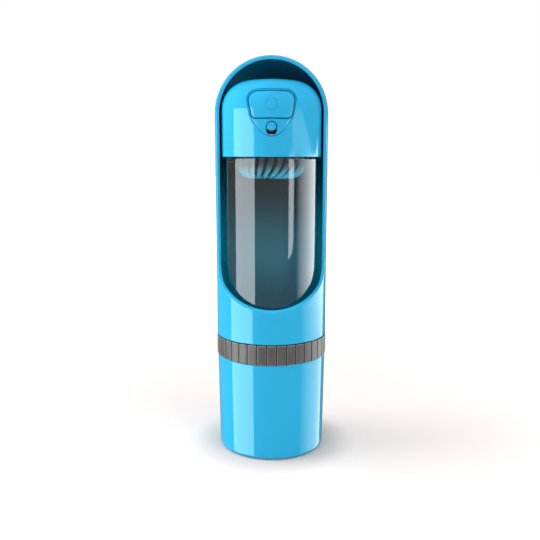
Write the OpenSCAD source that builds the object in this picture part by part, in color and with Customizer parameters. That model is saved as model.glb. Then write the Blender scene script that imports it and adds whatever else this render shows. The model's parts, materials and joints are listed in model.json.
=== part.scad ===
// Travel water bottle for dogs: a clear bottle with a push-button pouring head stands in a
// sliding sleeve whose hood is the drinking trough, above a screw-on food cup.
// Millimetres. +Z up, front towards -Y, origin at the centre of the base.

/* [Sleeve and hood] */
// Outer radius of the sleeve and of the hood's dome
sleeve_r = 34; // [32:0.5:40]
// Wall of the sleeve
sleeve_wall = 1.8; // [1.4:0.1:2.4]
// Room between the head and the hood, where the poured water gathers
hood_gap = 11.9; // [8:0.1:20]
// Distance of the window's flat rim in front of the axis
window_front = 10; // [6:0.5:14]
// Height of the window's lowest point above the sleeve's lower edge
sill_h = 21; // [16:0.5:30]
// Slope of the window's sill
sill_slope = 37; // [30:1:45]
// Radius that blends the sill into the flat rim
sill_blend_r = 18; // [12:1:22]
// How far the sleeve slides up to open the trough
sleeve_travel = 65; // [40:1:80]

/* [Food cup] */
// Height of the food cup up to its rim
cup_h = 59.8; // [50:0.5:90]
// Wall of the food cup
cup_wall = 2; // [1.6:0.1:2.4]
// How much smaller the cup's radius is at its base than at its rim
cup_taper = 1; // [0:0.1:2]
// Rounding of the cup's lower edge
cup_edge_r = 2.6; // [1.5:0.1:4]
// Depth of the hollow under the cup's base
cup_hollow = 1; // [0.5:0.1:1.5]
// Floor of the food cup
cup_floor = 2.4; // [2:0.1:4]

/* [Collar] */
// Height of the knurled collar
collar_h = 12; // [11.5:0.5:16]
// How far the collar stands proud of the sleeve
collar_proud = 0.2; // [0.1:0.1:0.8]
// Grooves around the collar
collar_grooves = 36; // [24:4:48]
// Width of a groove
groove_w = 0.9; // [0.6:0.1:1.2]
// Depth of a groove
groove_d = 0.5; // [0.3:0.1:0.7]
// Rise of the cup's thread in one turn
cup_lead = 9; // [8.4:0.3:12]
// Turn of the collar that frees the cup, in degrees
collar_turn = 240; // [200:10:260]

/* [Bottle] */
// Height of the bottle's straight body
bottle_h = 106.2; // [100:0.5:112]
// Wall of the bottle
bottle_wall = 1.8; // [1.4:0.1:2.2]
// How far the bottle's wall lies inside the head's
bottle_inset = 1; // [0.8:0.1:1.4]
// Floor of the bottle
bottle_floor = 2; // [1.6:0.1:3]
// Step from the bottle's wall in to its neck
neck_step = 4.6; // [4.4:0.1:5]
// Height of the neck
neck_h = 9.8; // [9.2:0.1:10.4]
// Rise of the neck's thread in one turn
neck_lead = 6; // [5.8:0.1:6.2]
// Turn of the head that frees it, in degrees
head_turn = 200; // [196:1:206]

/* [Head] */
// Height of the pouring head
head_h = 45.8; // [44.5:0.1:46.2]
// Wall of the head's cover
head_wall = 2; // [1.8:0.1:2.4]
// Gap between the head and the sleeve
head_gap = 1.6; // [1.4:0.1:2]
// Radius of the head's shoulder
shoulder_r = 17; // [15.5:0.1:18]
// Rise of the head's crowned top
head_crown = 1.2; // [0.8:0.1:1.4]

/* [Controls] */
// Height of the button's middle above the head's lower edge
button_z = 29.1; // [28.8:0.1:29.6]
// Height of the button
button_h = 14.4; // [13.5:0.1:15]
// Width of the button's upper edge between its corner points
button_top_w = 28; // [26:0.5:29]
// Width of the button's lower edge between its corner points
button_low_w = 21.8; // [20:0.2:22.6]
// Rise of the button's arched upper edge
button_arch = 0.5; // [0.2:0.1:0.8]
// Travel of the button, and of the valve under it
button_travel = 2.8; // [2:0.1:3]
// How far the button stands proud of the head
button_proud = 0.4; // [0:0.1:0.8]
// Radius of the lock's knob
knob_r = 2.45; // [2.2:0.05:2.6]
// How far the knob stands out of the head
knob_proud = 1.2; // [0.8:0.1:1.6]
// Height of the knob above the head's lower edge
knob_z = 17.1; // [17:0.1:17.2]
// Travel of the lock
lock_travel = 1.9; // [1.2:0.1:1.9]
// Border of the bezel around the button
bezel_border = 1.4; // [1:0.1:1.6]
// Thickness of the bezel
bezel_t = 1; // [0.8:0.1:1.2]

/* [Filter and valve] */
// Gap between the filter basket and the bottle's neck
basket_gap = 1.5; // [1:0.1:2.5]
// Depth of the basket's ribs below the head
basket_drop = 12.6; // [11:0.2:14]
// Ribs around the basket
basket_ribs = 24; // [18:1:26]
// Swirl of the ribs from top to bottom, in degrees
rib_swirl = 20; // [10:1:48]
// Slot between two ribs
rib_slot = 1.1; // [0.8:0.1:1.4]
// Radius of the valve stem
stem_r = 1.5; // [1.2:0.1:1.7]
// Bore of the water way
duct_r = 1.9; // [1.5:0.1:2]
// Wire of the valve spring
spring_wire = 0.45; // [0.35:0.05:0.5]
// Turns of the valve spring
spring_turns = 4.5; // [3:0.5:5]

/* [Clearances] */
// Seam between stacked pieces that don't move on each other
seam = 0.2; // [0.1:0.05:0.3]
// Running gap between pieces that slide or turn on each other
run_gap = 0.3; // [0.25:0.05:0.35]
// Gap between pieces that are fixed in each other
fit_gap = 0.1; // [0.05:0.05:0.15]
// Running fit of the valve stem in its gland
stem_fit = 0.08; // [0.04:0.01:0.1]

/* [Hidden] */
$fn = 96;
eps = 0.01;

// Radii, from the sleeve inwards
sleeve_in_r = sleeve_r - sleeve_wall;
head_r = sleeve_in_r - head_gap;
head_in_r = head_r - head_wall;
bottle_r = head_r - bottle_inset;
bottle_in_r = bottle_r - bottle_wall;
neck_r = bottle_r - neck_step;
neck_in_r = neck_r - bottle_wall;
basket_r = neck_in_r - basket_gap;
collar_r = sleeve_r + collar_proud;
cup_top_r = sleeve_r - 0.3;
cup_base_r = cup_top_r - cup_taper;
cup_mouth_r = cup_top_r - cup_wall;

// Threads: a ridge stands this far from its wall, and clears the other wall by crest_gap
ridge_h = 0.9;
crest_gap = 0.4;
cup_starts = 3;
neck_starts = 3;
cup_ridge_w = 1.2;
neck_ridge_w = 0.8;
ridge_span = 90;
ridge_sink = 0.35;
flank_gap = 0.25;
// Height between two ridges that face each other across flank_gap
function flank_step(width) = 0.6 * width + flank_gap;

// Heights, from the floor up
z_collar = cup_h + seam;
z_collar_top = z_collar + collar_h;
z_sleeve = z_collar_top + run_gap;
flange_t = 2.3;
z_bottle = z_sleeve + flange_t;
lip_h = 4.6;
z_lip = z_bottle + run_gap + 0.1;
z_shoulder = z_bottle + bottle_h;
z_head = z_shoulder + run_gap;
z_cup_thread = cup_h - 6.2;
z_neck_thread = z_shoulder + 4;
z_neck = z_shoulder + neck_h;
seal_t = 1.2;
z_disc = z_neck + seal_t + 2 * fit_gap;
disc_t = 2;
z_deck = z_disc + disc_t;
z_head_top = z_head + head_h;
z_dome = z_head_top + hood_gap - sleeve_in_r;
z_button = z_head + button_z;
z_knob = z_head + knob_z;

// Collar and the base that it turns on
skirt_r = cup_mouth_r - crest_gap - ridge_h;
skirt_wall = 1.4;
skirt_h = 9;
collar_lip_h = 2.5;
boss_r = bottle_r + fit_gap;
collar_lip_r = boss_r + run_gap;
clip_t = 1;
clip_r = collar_lip_r + 0.6;
clip_bore = boss_r - 1.2;
collar_bore = clip_r + run_gap;
z_clip = z_collar_top - collar_lip_h - run_gap - clip_t;
z_boss = z_clip - 1.6;
flange_r = sleeve_in_r - run_gap - 0.1;
foot_h = 4.9;
cup_seal_t = 0.8;

// Cap that screws on the neck, and the valve on its axis
cap_skirt_r = head_in_r - fit_gap;
cap_bore = neck_r + ridge_h + crest_gap;
tower_r = 8;
duct_y = 9;
duct_wall = 1.3;
chamber_r = 6.2;
chamber_h = 4;
roof_t = 2;
z_roof = z_deck + chamber_h;
z_tower = z_roof + roof_t;
seat_r = 4.2;
plug_r = seat_r + 1.4;
plug_t = 1.2;
plug_seal_t = 1.8;
washer_t = 0.6;
washer_r = duct_y - duct_r - duct_wall - run_gap;
oring_r = 0.6;
spring_r = stem_r + 1.1;
spring_h = 5.6;
z_spring = z_tower + washer_t;
z_stem_flange = z_spring + spring_h;
stem_flange_t = 1;
follower_r = 2.4;
// Height on the axis of the 45 degree face between the stem and the button's bar
z_wedge = z_stem_flange + stem_flange_t + follower_r + 0.4;
basket_ring_t = 1.2;
basket_boss_r = basket_r - basket_ring_t - fit_gap;

button_flange = 1.1;
button_z_low = z_button - button_h / 2;

// Button's bar, which runs back over the stem
bar_w = 6;
bar_h = 6;
z_bar = z_wedge - follower_r;
bar_end = follower_r + 0.2;
bar_front = head_in_r - 1;
post_w = 1.5;
front_cut = 16;

// A ring between two radii, from height z up by h
module ring(r_out, r_in, z, h) {
    translate([0, 0, z])
        difference() {
            cylinder(r = r_out, h = h);
            translate([0, 0, -1])
                cylinder(r = r_in, h = h + 2);
        }
}

// Points of an outline whose corners are rounded: each corner is [x, y, radius]
function corner_arc(a, b, c, r, steps) =
    let (u = (a - b) / norm(a - b), v = (c - b) / norm(c - b))
    let (half = acos(u * v) / 2, reach = r / tan(half))
    let (middle = b + (u + v) / norm(u + v) * r / sin(half))
    let (p = b + u * reach - middle, q = b + v * reach - middle)
    let (from = atan2(p.y, p.x), turn = atan2(q.y, q.x) - from)
    let (sweep = turn > 180 ? turn - 360 : turn < -180 ? turn + 360 : turn)
    [for (i = [0:steps]) middle + r * [cos(from + sweep * i / steps), sin(from + sweep * i / steps)]];
function rounded(corners, steps = 8) =
    let (n = len(corners), p = [for (c = corners) [c.x, c.y]])
    [for (i = [0:n - 1]) each corner_arc(p[(i + n - 1) % n], p[i], p[(i + 1) % n], corners[i].z, steps)];

// A thread's ridges: a trapezoid swept up a helix, sunk into its wall by ridge_sink
function ridge_points(wall_r, outward, z, lead, width, from, steps) =
    let (sign = outward ? 1 : -1, root = wall_r - sign * ridge_sink, crest = wall_r + sign * ridge_h)
    [for (i = [0:steps]) each
        let (turn = ridge_span * i / steps, a = from + turn, rise = z + lead * turn / 360)
        [for (p = [[root, -width / 2], [crest, -width / 4], [crest, width / 4], [root, width / 2]])
            [p.x * cos(a), p.x * sin(a), rise + p.y]]];
function strip_faces(steps, flip) =
    let (sides = [for (i = [0:steps - 1]) each [for (k = [0:3]) each
            let (a = i * 4 + k, b = i * 4 + (k + 1) % 4, c = b + 4, d = a + 4)
            [[a, b, c], [a, c, d]]]],
        ends = [[0, 2, 1], [0, 3, 2], [steps * 4, steps * 4 + 1, steps * 4 + 2],
            [steps * 4, steps * 4 + 2, steps * 4 + 3]])
    [for (f = concat(sides, ends)) flip ? [f[2], f[1], f[0]] : f];
module thread(wall_r, outward, z, lead, starts, width) {
    steps = 12;
    for (s = [0:starts - 1])
        polyhedron(ridge_points(wall_r, outward, z, lead, width, s * 360 / starts, steps),
            strip_faces(steps, !outward));
}

// The head's outer form, shrunk by inset: a crowned drum with a round shoulder
module head_form(inset, z_low) {
    r = head_r - inset;
    shoulder = shoulder_r - inset;
    z_ring = z_head_top - head_crown - shoulder_r;
    flat_r = r - shoulder;
    crown_r = (flat_r * flat_r + head_crown * head_crown) / (2 * head_crown);
    union() {
        translate([0, 0, z_low])
            cylinder(r = r, h = z_ring - z_low);
        rotate_extrude()
            union() {
                translate([flat_r, z_ring])
                    intersection() {
                        circle(r = shoulder);
                        translate([0, -1])
                            square(shoulder + 2);
                    }
                translate([0, z_ring - 1])
                    square([flat_r + eps, shoulder + 1]);
            }
        translate([0, 0, z_ring + shoulder - 1])
            intersection() {
                cylinder(r = flat_r, h = head_crown + 2);
                translate([0, 0, 1 + head_crown - crown_r])
                    sphere(r = crown_r);
            }
    }
}

// A prism in front of the axis, drawn as the control is seen from the front
module front_prism(corners) {
    translate([0, -front_cut, 0])
        rotate([90, 0, 0])
            linear_extrude(height = sleeve_r)
                polygon(rounded(corners, 6));
}

// The button's outline, each side moved out by g
function button_outline(g) =
    let (top = button_top_w / 2 + 1.2 * g, low = button_low_w / 2 + 0.8 * g)
    let (z_top = z_button + button_h / 2 + g, z_low = z_button - button_h / 2 - g)
    [[-top, z_top, 5 + g], [-low, z_low, 2.4 + g], [low, z_low, 2.4 + g], [top, z_top, 5 + g],
        [0, z_top + button_arch, 120]];
// The bezel's shield outline, moved in by g
function bezel_outline(g) =
    let (b = bezel_border - g, top = button_top_w / 2 + 0.9 * b, waist = button_low_w / 2 + b)
    let (z_top = z_button + button_h / 2 + b, z_waist = z_button - button_h / 2 + 0.6)
    [[-top, z_top, 6], [-waist, z_waist, 14], [0, z_knob - lock_travel - knob_r - 5.4 - 1.2 * b, 8.5],
        [waist, z_waist, 14], [top, z_top, 6], [0, z_top + button_arch, 120]];
// The lock's slot, with round ends
module slot_prism(r) {
    for (z = [z_knob - lock_travel, z_knob])
        translate([0, -front_cut, z])
            rotate([90, 0, 0])
                cylinder(r = r, h = sleeve_r);
    translate([-r, -front_cut - sleeve_r, z_knob - lock_travel])
        cube([2 * r, sleeve_r, lock_travel]);
}

// The window's cutter: everything in front of the flat rim and above the sill
module window_cut() {
    blend_y = -window_front - sill_blend_r * (1 - sin(sill_slope));
    blend_h = sill_blend_r * cos(sill_slope);
    z_low = z_sleeve + sill_h + (blend_y + sleeve_in_r) * tan(sill_slope);
    far = 2 * sleeve_r;
    rotate([90, 0, 90])
        translate([0, 0, -far])
            linear_extrude(height = 2 * far)
                union() {
                    polygon([[-far, z_low - (blend_y + far) * tan(sill_slope)], [blend_y, z_low],
                        [blend_y, z_low + blend_h], [-window_front, z_low + blend_h],
                        [-window_front, z_dome + far], [-far, z_dome + far]]);
                    intersection() {
                        translate([-window_front - sill_blend_r, z_low + blend_h])
                            circle(r = sill_blend_r);
                        translate([blend_y - eps, z_low])
                            square([sill_blend_r, blend_h + eps]);
                    }
                }
}

module food_cup() {
    color("deepskyblue")
        difference() {
            union() {
                translate([0, 0, cup_edge_r])
                    cylinder(r1 = cup_base_r, r2 = cup_top_r, h = cup_h - cup_edge_r);
                cylinder(r = cup_base_r - cup_edge_r, h = cup_edge_r + 1);
                translate([0, 0, cup_edge_r])
                    rotate_extrude()
                        translate([cup_base_r - cup_edge_r, 0])
                            circle(r = cup_edge_r);
            }
            translate([0, 0, cup_hollow + cup_floor])
                cylinder(r1 = cup_base_r - cup_wall - 0.4, r2 = cup_mouth_r, h = cup_h
                    - cup_hollow - cup_floor - skirt_h - 3);
            translate([0, 0, cup_h - skirt_h - 3 - eps])
                cylinder(r = cup_mouth_r, h = skirt_h + 4);
            translate([0, 0, -1])
                cylinder(r = cup_base_r - cup_edge_r - 4, h = cup_hollow + 1);
        }
    color("deepskyblue")
        thread(cup_mouth_r, false, z_cup_thread, cup_lead, cup_starts, cup_ridge_w);
}

module collar() {
    color("dimgray")
        difference() {
            union() {
                translate([0, 0, z_collar])
                    cylinder(r = collar_r, h = collar_h);
                translate([0, 0, z_collar - skirt_h])
                    cylinder(r = skirt_r, h = skirt_h + 1);
            }
            translate([0, 0, z_collar - skirt_h - 1])
                cylinder(r = skirt_r - skirt_wall, h = skirt_h + 3);
            translate([0, 0, z_collar + 2])
                cylinder(r = collar_bore, h = collar_h - 2 - collar_lip_h);
            translate([0, 0, z_collar + 1])
                cylinder(r = collar_lip_r, h = collar_h);
            ring(cup_top_r - 0.5, skirt_r + 0.6, z_collar - 1, 1 + cup_seal_t);
            for (i = [0:collar_grooves - 1])
                rotate([0, 0, (i + 0.5) * 360 / collar_grooves])
                    translate([collar_r - groove_d, -groove_w / 2, z_collar - 1])
                        cube([2, groove_w, collar_h + 2]);
        }
    color("dimgray")
        thread(skirt_r, true, z_cup_thread - flank_step(cup_ridge_w), cup_lead, cup_starts, cup_ridge_w);
}

module cup_seal() {
    color("black")
        ring(cup_top_r - 0.5 - fit_gap, skirt_r + 0.6 + fit_gap, z_collar - seam / 2,
            cup_seal_t + seam / 2);
}

module collar_clip() {
    color("silver")
        difference() {
            ring(clip_r, clip_bore + fit_gap, z_clip, clip_t);
            translate([0, 0, z_clip - 1])
                rotate([0, 0, 86])
                    cube([clip_r + 1, 4, clip_t + 2]);
        }
}

module bottle_base() {
    plug_r_out = bottle_in_r - fit_gap;
    color("deepskyblue")
        difference() {
            union() {
                translate([0, 0, z_boss])
                    cylinder(r = boss_r, h = z_sleeve - z_boss);
                translate([0, 0, z_sleeve])
                    cylinder(r = flange_r, h = flange_t);
                translate([0, 0, z_bottle])
                    cylinder(r = plug_r_out, h = foot_h - 2 * fit_gap);
            }
            ring(boss_r + 1, clip_bore, z_clip - fit_gap, clip_t + 2 * fit_gap);
            translate([0, 0, z_boss + 2])
                cylinder(r = plug_r_out - 2, h = z_bottle + foot_h);
        }
}

module water_bottle() {
    z_floor = z_bottle + foot_h;
    color("lightcyan", 0.4)
        difference() {
            union() {
                translate([0, 0, z_bottle])
                    cylinder(r = bottle_r, h = bottle_h);
                translate([0, 0, z_bottle + 10])
                    cylinder(r = neck_r, h = bottle_h + neck_h - 10);
                stop_lugs();
            }
            translate([0, 0, z_bottle - 1])
                cylinder(r = bottle_in_r, h = foot_h + 1);
            translate([0, 0, z_floor + bottle_floor])
                cylinder(r = bottle_in_r, h = bottle_h - foot_h - bottle_floor - bottle_wall);
            translate([0, 0, z_floor + 10])
                cylinder(r = neck_in_r, h = bottle_h + neck_h);
        }
    color("lightcyan", 0.4)
        thread(neck_r, true, z_neck_thread, neck_lead, neck_starts, neck_ridge_w);
}

// Two lugs at the back of the bottle, which stop the sleeve when the trough is open
module stop_lugs() {
    z_stop = z_lip + lip_h + sleeve_travel + run_gap;
    for (side = [-1, 1])
        rotate([0, 0, 90 + side * 40])
            translate([0, 0, z_stop])
                intersection() {
                    ring(sleeve_in_r - run_gap, bottle_r - 0.5, 0, 2.4);
                    translate([0, -4, -1])
                        cube([sleeve_r, 8, 4]);
                }
}

module sleeve() {
    color("deepskyblue")
        difference() {
            union() {
                translate([0, 0, z_sleeve])
                    cylinder(r = sleeve_r, h = z_dome - z_sleeve);
                translate([0, 0, z_dome])
                    sphere(r = sleeve_r);
            }
            difference() {
                union() {
                    translate([0, 0, z_sleeve - 1])
                        cylinder(r = sleeve_in_r, h = z_dome - z_sleeve + 1);
                    translate([0, 0, z_dome])
                        sphere(r = sleeve_in_r);
                }
                ring(sleeve_in_r + 1, bottle_r + run_gap + 0.2, z_lip, lip_h);
            }
            ring(seal_groove_r, bottle_r - 1, z_seal, seal_h);
            window_cut();
        }
}

// The wiper in the sleeve's lip, which keeps the trough's water off the bottle
seal_h = 2.2;
z_seal = z_lip + (lip_h - seal_h) / 2;
seal_groove_r = sleeve_in_r - 0.8;
module sleeve_seal() {
    color("black")
        difference() {
            ring(seal_groove_r - fit_gap, bottle_r + run_gap, z_seal + fit_gap, seal_h - 2 * fit_gap);
            ring(bottle_r + run_gap + 0.7, bottle_r - 1, z_seal + 0.8, seal_h - 1.6);
        }
}

module neck_seal() {
    color("whitesmoke")
        ring(cap_bore - fit_gap - 0.2, neck_in_r - 0.4, z_neck + fit_gap, seal_t);
}

module cap_base() {
    bead_z = z_head + 5;
    color("white")
        difference() {
            union() {
                translate([0, 0, z_head + 0.4])
                    cylinder(r = cap_skirt_r, h = z_deck - z_head - 0.4);
                ring(cap_skirt_r + 0.4, cap_skirt_r - 1, bead_z, 1);
                translate([0, 0, z_deck - 1])
                    cylinder(r = tower_r, h = z_tower - z_deck + 1);
                translate([0, duct_y, z_deck - 1])
                    cylinder(r = duct_r + duct_wall, h = z_duct - z_deck + 1);
                button_guides();
            }
            difference() {
                translate([0, 0, z_head - 1])
                    cylinder(r = cap_bore, h = z_disc - z_head + 1);
                ring(basket_boss_r, basket_boss_r - 1.6, z_disc - 6, 7);
            }
            translate([0, 0, z_disc - 1])
                cylinder(r = seat_r, h = disc_t + 2);
            translate([0, 0, z_deck])
                cylinder(r = chamber_r, h = chamber_h);
            translate([0, 0, z_deck])
                cylinder(r = stem_r + stem_fit, h = z_tower);
            translate([0, 0, z_roof + 0.6])
                cylinder(r = stem_r + 2 * oring_r + 0.2, h = roof_t);
            translate([0, duct_y, z_deck])
                cylinder(r = duct_r, h = z_duct);
            translate([0, chamber_r - 1, z_deck + duct_r])
                rotate([-90, 0, 0])
                    cylinder(r = duct_r - 0.1, h = duct_y - chamber_r + 1);
        }
    color("white")
        thread(cap_bore, false, z_neck_thread - flank_step(neck_ridge_w), neck_lead, neck_starts,
            neck_ridge_w);
}

// Two posts and a saddle that carry the button's bar
module button_guides() {
    guide_y = -15;
    guide_l = 6;
    for (side = [-1, 1])
        translate([side * (bar_w / 2 + run_gap + post_w / 2) - post_w / 2, guide_y - guide_l / 2,
            z_deck - 1])
            cube([post_w, guide_l, z_bar + bar_h - z_deck]);
    translate([-bar_w / 2 - run_gap - eps, guide_y - guide_l / 2, z_deck - 1])
        cube([bar_w + 2 * run_gap + 2 * eps, guide_l, z_bar - run_gap - z_deck + 1]);
}

// The spout's hole in the head's top, and the duct that ends under it
spout_bore = duct_r + duct_wall + fit_gap;
z_duct = z_head_top - head_crown - head_wall;
spout_flange_r = spout_bore + 1.3;

module head_cover() {
    color("deepskyblue")
        difference() {
            head_form(0, z_head);
            head_form(head_wall, z_head - 1);
            ring(cap_skirt_r + 0.5, cap_skirt_r - 1, z_head + 5 - fit_gap, 1 + 2 * fit_gap);
            difference() {
                front_prism(bezel_outline(0));
                head_form(bezel_t + 0.3, z_head - 1);
            }
            front_prism(button_outline(run_gap));
            slot_prism(knob_r + run_gap);
            translate([0, duct_y, z_duct - 1])
                cylinder(r = spout_bore, h = head_crown + head_wall + 2);
        }
}

module control_bezel() {
    color("deepskyblue")
        difference() {
            intersection() {
                front_prism(bezel_outline(0.25));
                head_form(0.2, z_head);
            }
            head_form(bezel_t + 0.2, z_head - 1);
            front_prism(button_outline(run_gap));
            slot_prism(knob_r + run_gap);
        }
}

module button() {
    nose_z = z_wedge + fit_gap * 2;
    color("deepskyblue")
        difference() {
            union() {
                difference() {
                    intersection() {
                        front_prism(button_outline(0));
                        head_form(-button_proud, z_head);
                    }
                    head_form(head_wall + run_gap + 1.4, z_head - 1);
                }
                difference() {
                    intersection() {
                        front_prism(button_outline(button_flange));
                        head_form(head_wall + run_gap, z_head);
                    }
                    head_form(head_wall + run_gap + 1.4, z_head - 1);
                }
                translate([-bar_w / 2, -bar_front, z_bar])
                    cube([bar_w, bar_front + bar_end, bar_h]);
            }
            translate([-bar_w / 2 - 1, 0, nose_z])
                rotate([45, 0, 0])
                    translate([0, -12, -12])
                        cube([bar_w + 2, 24, 12]);
        }
}

// The knob outside, a neck over the cap's deck, and the plate that holds both behind the cover
lock_plate_w = 2 * knob_r + 3;
lock_neck_r = 1.7;
module lock_slider() {
    plate_y = -sqrt(pow(head_in_r, 2) - pow(lock_plate_w / 2, 2)) + run_gap;
    plate_t = 1.2;
    plate_top = button_z_low - button_flange - run_gap - 0.1;
    color("deepskyblue")
        union() {
            translate([0, -cap_skirt_r - run_gap, z_knob])
                rotate([90, 0, 0])
                    cylinder(r = knob_r, h = head_r + knob_proud - cap_skirt_r - run_gap);
            translate([0, plate_y + plate_t, z_knob])
                rotate([90, 0, 0])
                    cylinder(r = lock_neck_r, h = head_r + plate_y + plate_t);
            translate([-lock_plate_w / 2, plate_y, z_knob - lock_neck_r])
                cube([lock_plate_w, plate_t, plate_top - z_knob + lock_neck_r]);
        }
}

module valve_stem() {
    color("gainsboro")
        difference() {
            union() {
                translate([0, 0, z_disc - plug_seal_t - fit_gap - plug_t])
                    cylinder(r = plug_r, h = plug_t);
                translate([0, 0, z_disc - plug_seal_t - plug_t])
                    cylinder(r = stem_r, h = z_stem_flange - z_disc + plug_seal_t + plug_t + 1);
                translate([0, 0, z_stem_flange])
                    cylinder(r = spring_r + spring_wire + 0.4, h = stem_flange_t);
                translate([0, 0, z_stem_flange])
                    cylinder(r = follower_r, h = z_wedge + follower_r - z_stem_flange);
            }
            translate([-follower_r - 1, 0, z_wedge])
                rotate([45, 0, 0])
                    translate([0, -8, 0])
                        cube([2 * follower_r + 2, 16, 8]);
        }
}

module plug_seal() {
    color("black")
        ring(plug_r + 0.4, stem_r + fit_gap / 2, z_disc - plug_seal_t - fit_gap, plug_seal_t);
}

// The valve spring: one round wire wound up the stem
function coil_points(r, wire_r, z, h, turns, rings, sides) =
    let (slope = atan2(h, 2 * PI * r * turns))
    [for (i = [0:rings]) each
        let (a = 360 * turns * i / rings, rise = z + h * i / rings)
        [for (k = [0:sides - 1])
            let (b = 360 * k / sides, out = wire_r * cos(b), up = wire_r * sin(b))
            [(r + out) * cos(a) + up * sin(slope) * sin(a),
                (r + out) * sin(a) - up * sin(slope) * cos(a), rise + up * cos(slope)]]];
function tube_faces(rings, sides) =
    concat([[for (k = [0:sides - 1]) k]],
        [for (i = [0:rings - 1]) each [for (k = [0:sides - 1]) each
            let (a = i * sides + k, b = i * sides + (k + 1) % sides)
            [[a, a + sides, b + sides], [a, b + sides, b]]]],
        [[for (k = [sides - 1:-1:0]) rings * sides + k]]);
module valve_spring() {
    rings = round(12 * spring_turns);
    wire_r = spring_wire / 2;
    color("silver")
        polyhedron(coil_points(spring_r, wire_r, z_spring + wire_r + fit_gap,
            spring_h - spring_wire - 2 * fit_gap, spring_turns, rings, 6), tube_faces(rings, 6));
}

module stem_oring() {
    color("black")
        translate([0, 0, z_roof + 0.6 + oring_r])
            rotate_extrude()
                translate([stem_r + oring_r + stem_fit, 0])
                    circle(r = oring_r);
}

module gland_washer() {
    color("white")
        ring(washer_r, stem_r + stem_fit, z_tower, washer_t);
}

module outlet_spout() {
    z_seat = z_head_top - head_crown * pow((spout_flange_r + duct_y) / (head_r - shoulder_r), 2);
    color("darkslategray")
        difference() {
            union() {
                translate([0, duct_y, z_duct + fit_gap])
                    cylinder(r = spout_bore - fit_gap, h = z_head_top - z_duct + 0.2);
                intersection() {
                    translate([0, duct_y, z_duct])
                        cylinder(r = spout_flange_r, h = head_wall + head_crown + 2);
                    difference() {
                        head_form(-0.8, z_head);
                        head_form(0, z_head - 1);
                    }
                }
            }
            translate([0, duct_y, z_duct - 1])
                cylinder(r = duct_r, h = head_wall + head_crown + 6);
        }
}

// The basket's bowl, as radius and height: s runs from 0 at its ring to 1 at its floor
z_bowl = z_head + 0.6;
bowl_low_r = basket_r - 10;
rib_depth = 2.2;
function bowl(s) =
    [basket_r - 0.1 - (basket_r - bowl_low_r) * pow(s, 2.2), z_bowl - basket_drop * sin(90 * s)];
function bowl_in(s) =
    let (along = bowl(s + 0.01) - bowl(s - 0.01))
    bowl(s) + rib_depth * [along.y, -along.x] / norm(along);
// One rib, swept down the bowl while it swirls round
function rib_points(from, steps) =
    [for (i = [0:steps]) each
        let (s = max(0.011, i / steps), a = from - rib_swirl * pow(s, 1.5))
        let (outer = bowl(s), inner = bowl_in(s), w = PI * outer.x / basket_ribs - rib_slot / 2)
        [for (p = [[outer, -w], [outer, w], [inner, w], [inner, -w]])
            [p.x.x * cos(a) - p.y * sin(a), p.x.x * sin(a) + p.y * cos(a), p.x.y]]];

basket_floor_t = 1.4;
z_basket_floor = z_bowl - basket_drop;
module filter_basket() {
    z_ring = z_head - 0.2;
    z_ring_top = z_disc - 1;
    color("deepskyblue")
        union() {
            ring(basket_r, basket_r - basket_ring_t, z_ring, z_ring_top - z_ring);
            ring(basket_r, basket_r - rib_depth - 0.2, z_ring, 1.2);
            difference() {
                ring(bowl_low_r + 0.3, 2.2, z_basket_floor, basket_floor_t);
                for (i = [0:7])
                    rotate([0, 0, i * 45])
                        translate([6.4, 0, z_basket_floor - 1])
                            cylinder(r = 1.8, h = basket_floor_t + 2);
            }
            for (i = [0:basket_ribs - 1])
                polyhedron(rib_points(i * 360 / basket_ribs, 8), strip_faces(8, false));
        }
}

module filter_cartridge() {
    z_low = z_basket_floor + basket_floor_t + fit_gap;
    z_top = z_disc - plug_seal_t - plug_t - button_travel - 1;
    r = basket_r - rib_depth - 2;
    cone_h = 5;
    color("darkslategray")
        union() {
            translate([0, 0, z_low])
                cylinder(r1 = bowl_low_r - 1.4, r2 = r, h = cone_h);
            translate([0, 0, z_low + cone_h - eps])
                cylinder(r = r, h = z_top - z_low - cone_h);
        }
}

food_cup();
collar();
cup_seal();
collar_clip();
bottle_base();
water_bottle();
sleeve();
sleeve_seal();
neck_seal();
cap_base();
head_cover();
control_bezel();
button();
lock_slider();
valve_stem();
plug_seal();
valve_spring();
stem_oring();
gland_washer();
outlet_spout();
filter_basket();
filter_cartridge();
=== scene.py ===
"""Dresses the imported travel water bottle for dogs: its moulded shells, clear bottle, controls, filter basket, knurled
collar and food cup, with their finishes and the studio round them.

All shapes stand in the frame of the solids, +Z up along the bottle, -Y the front. They are worked out in millimetres
and put into the meshes in metres.
"""
import json
from types import SimpleNamespace

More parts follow.
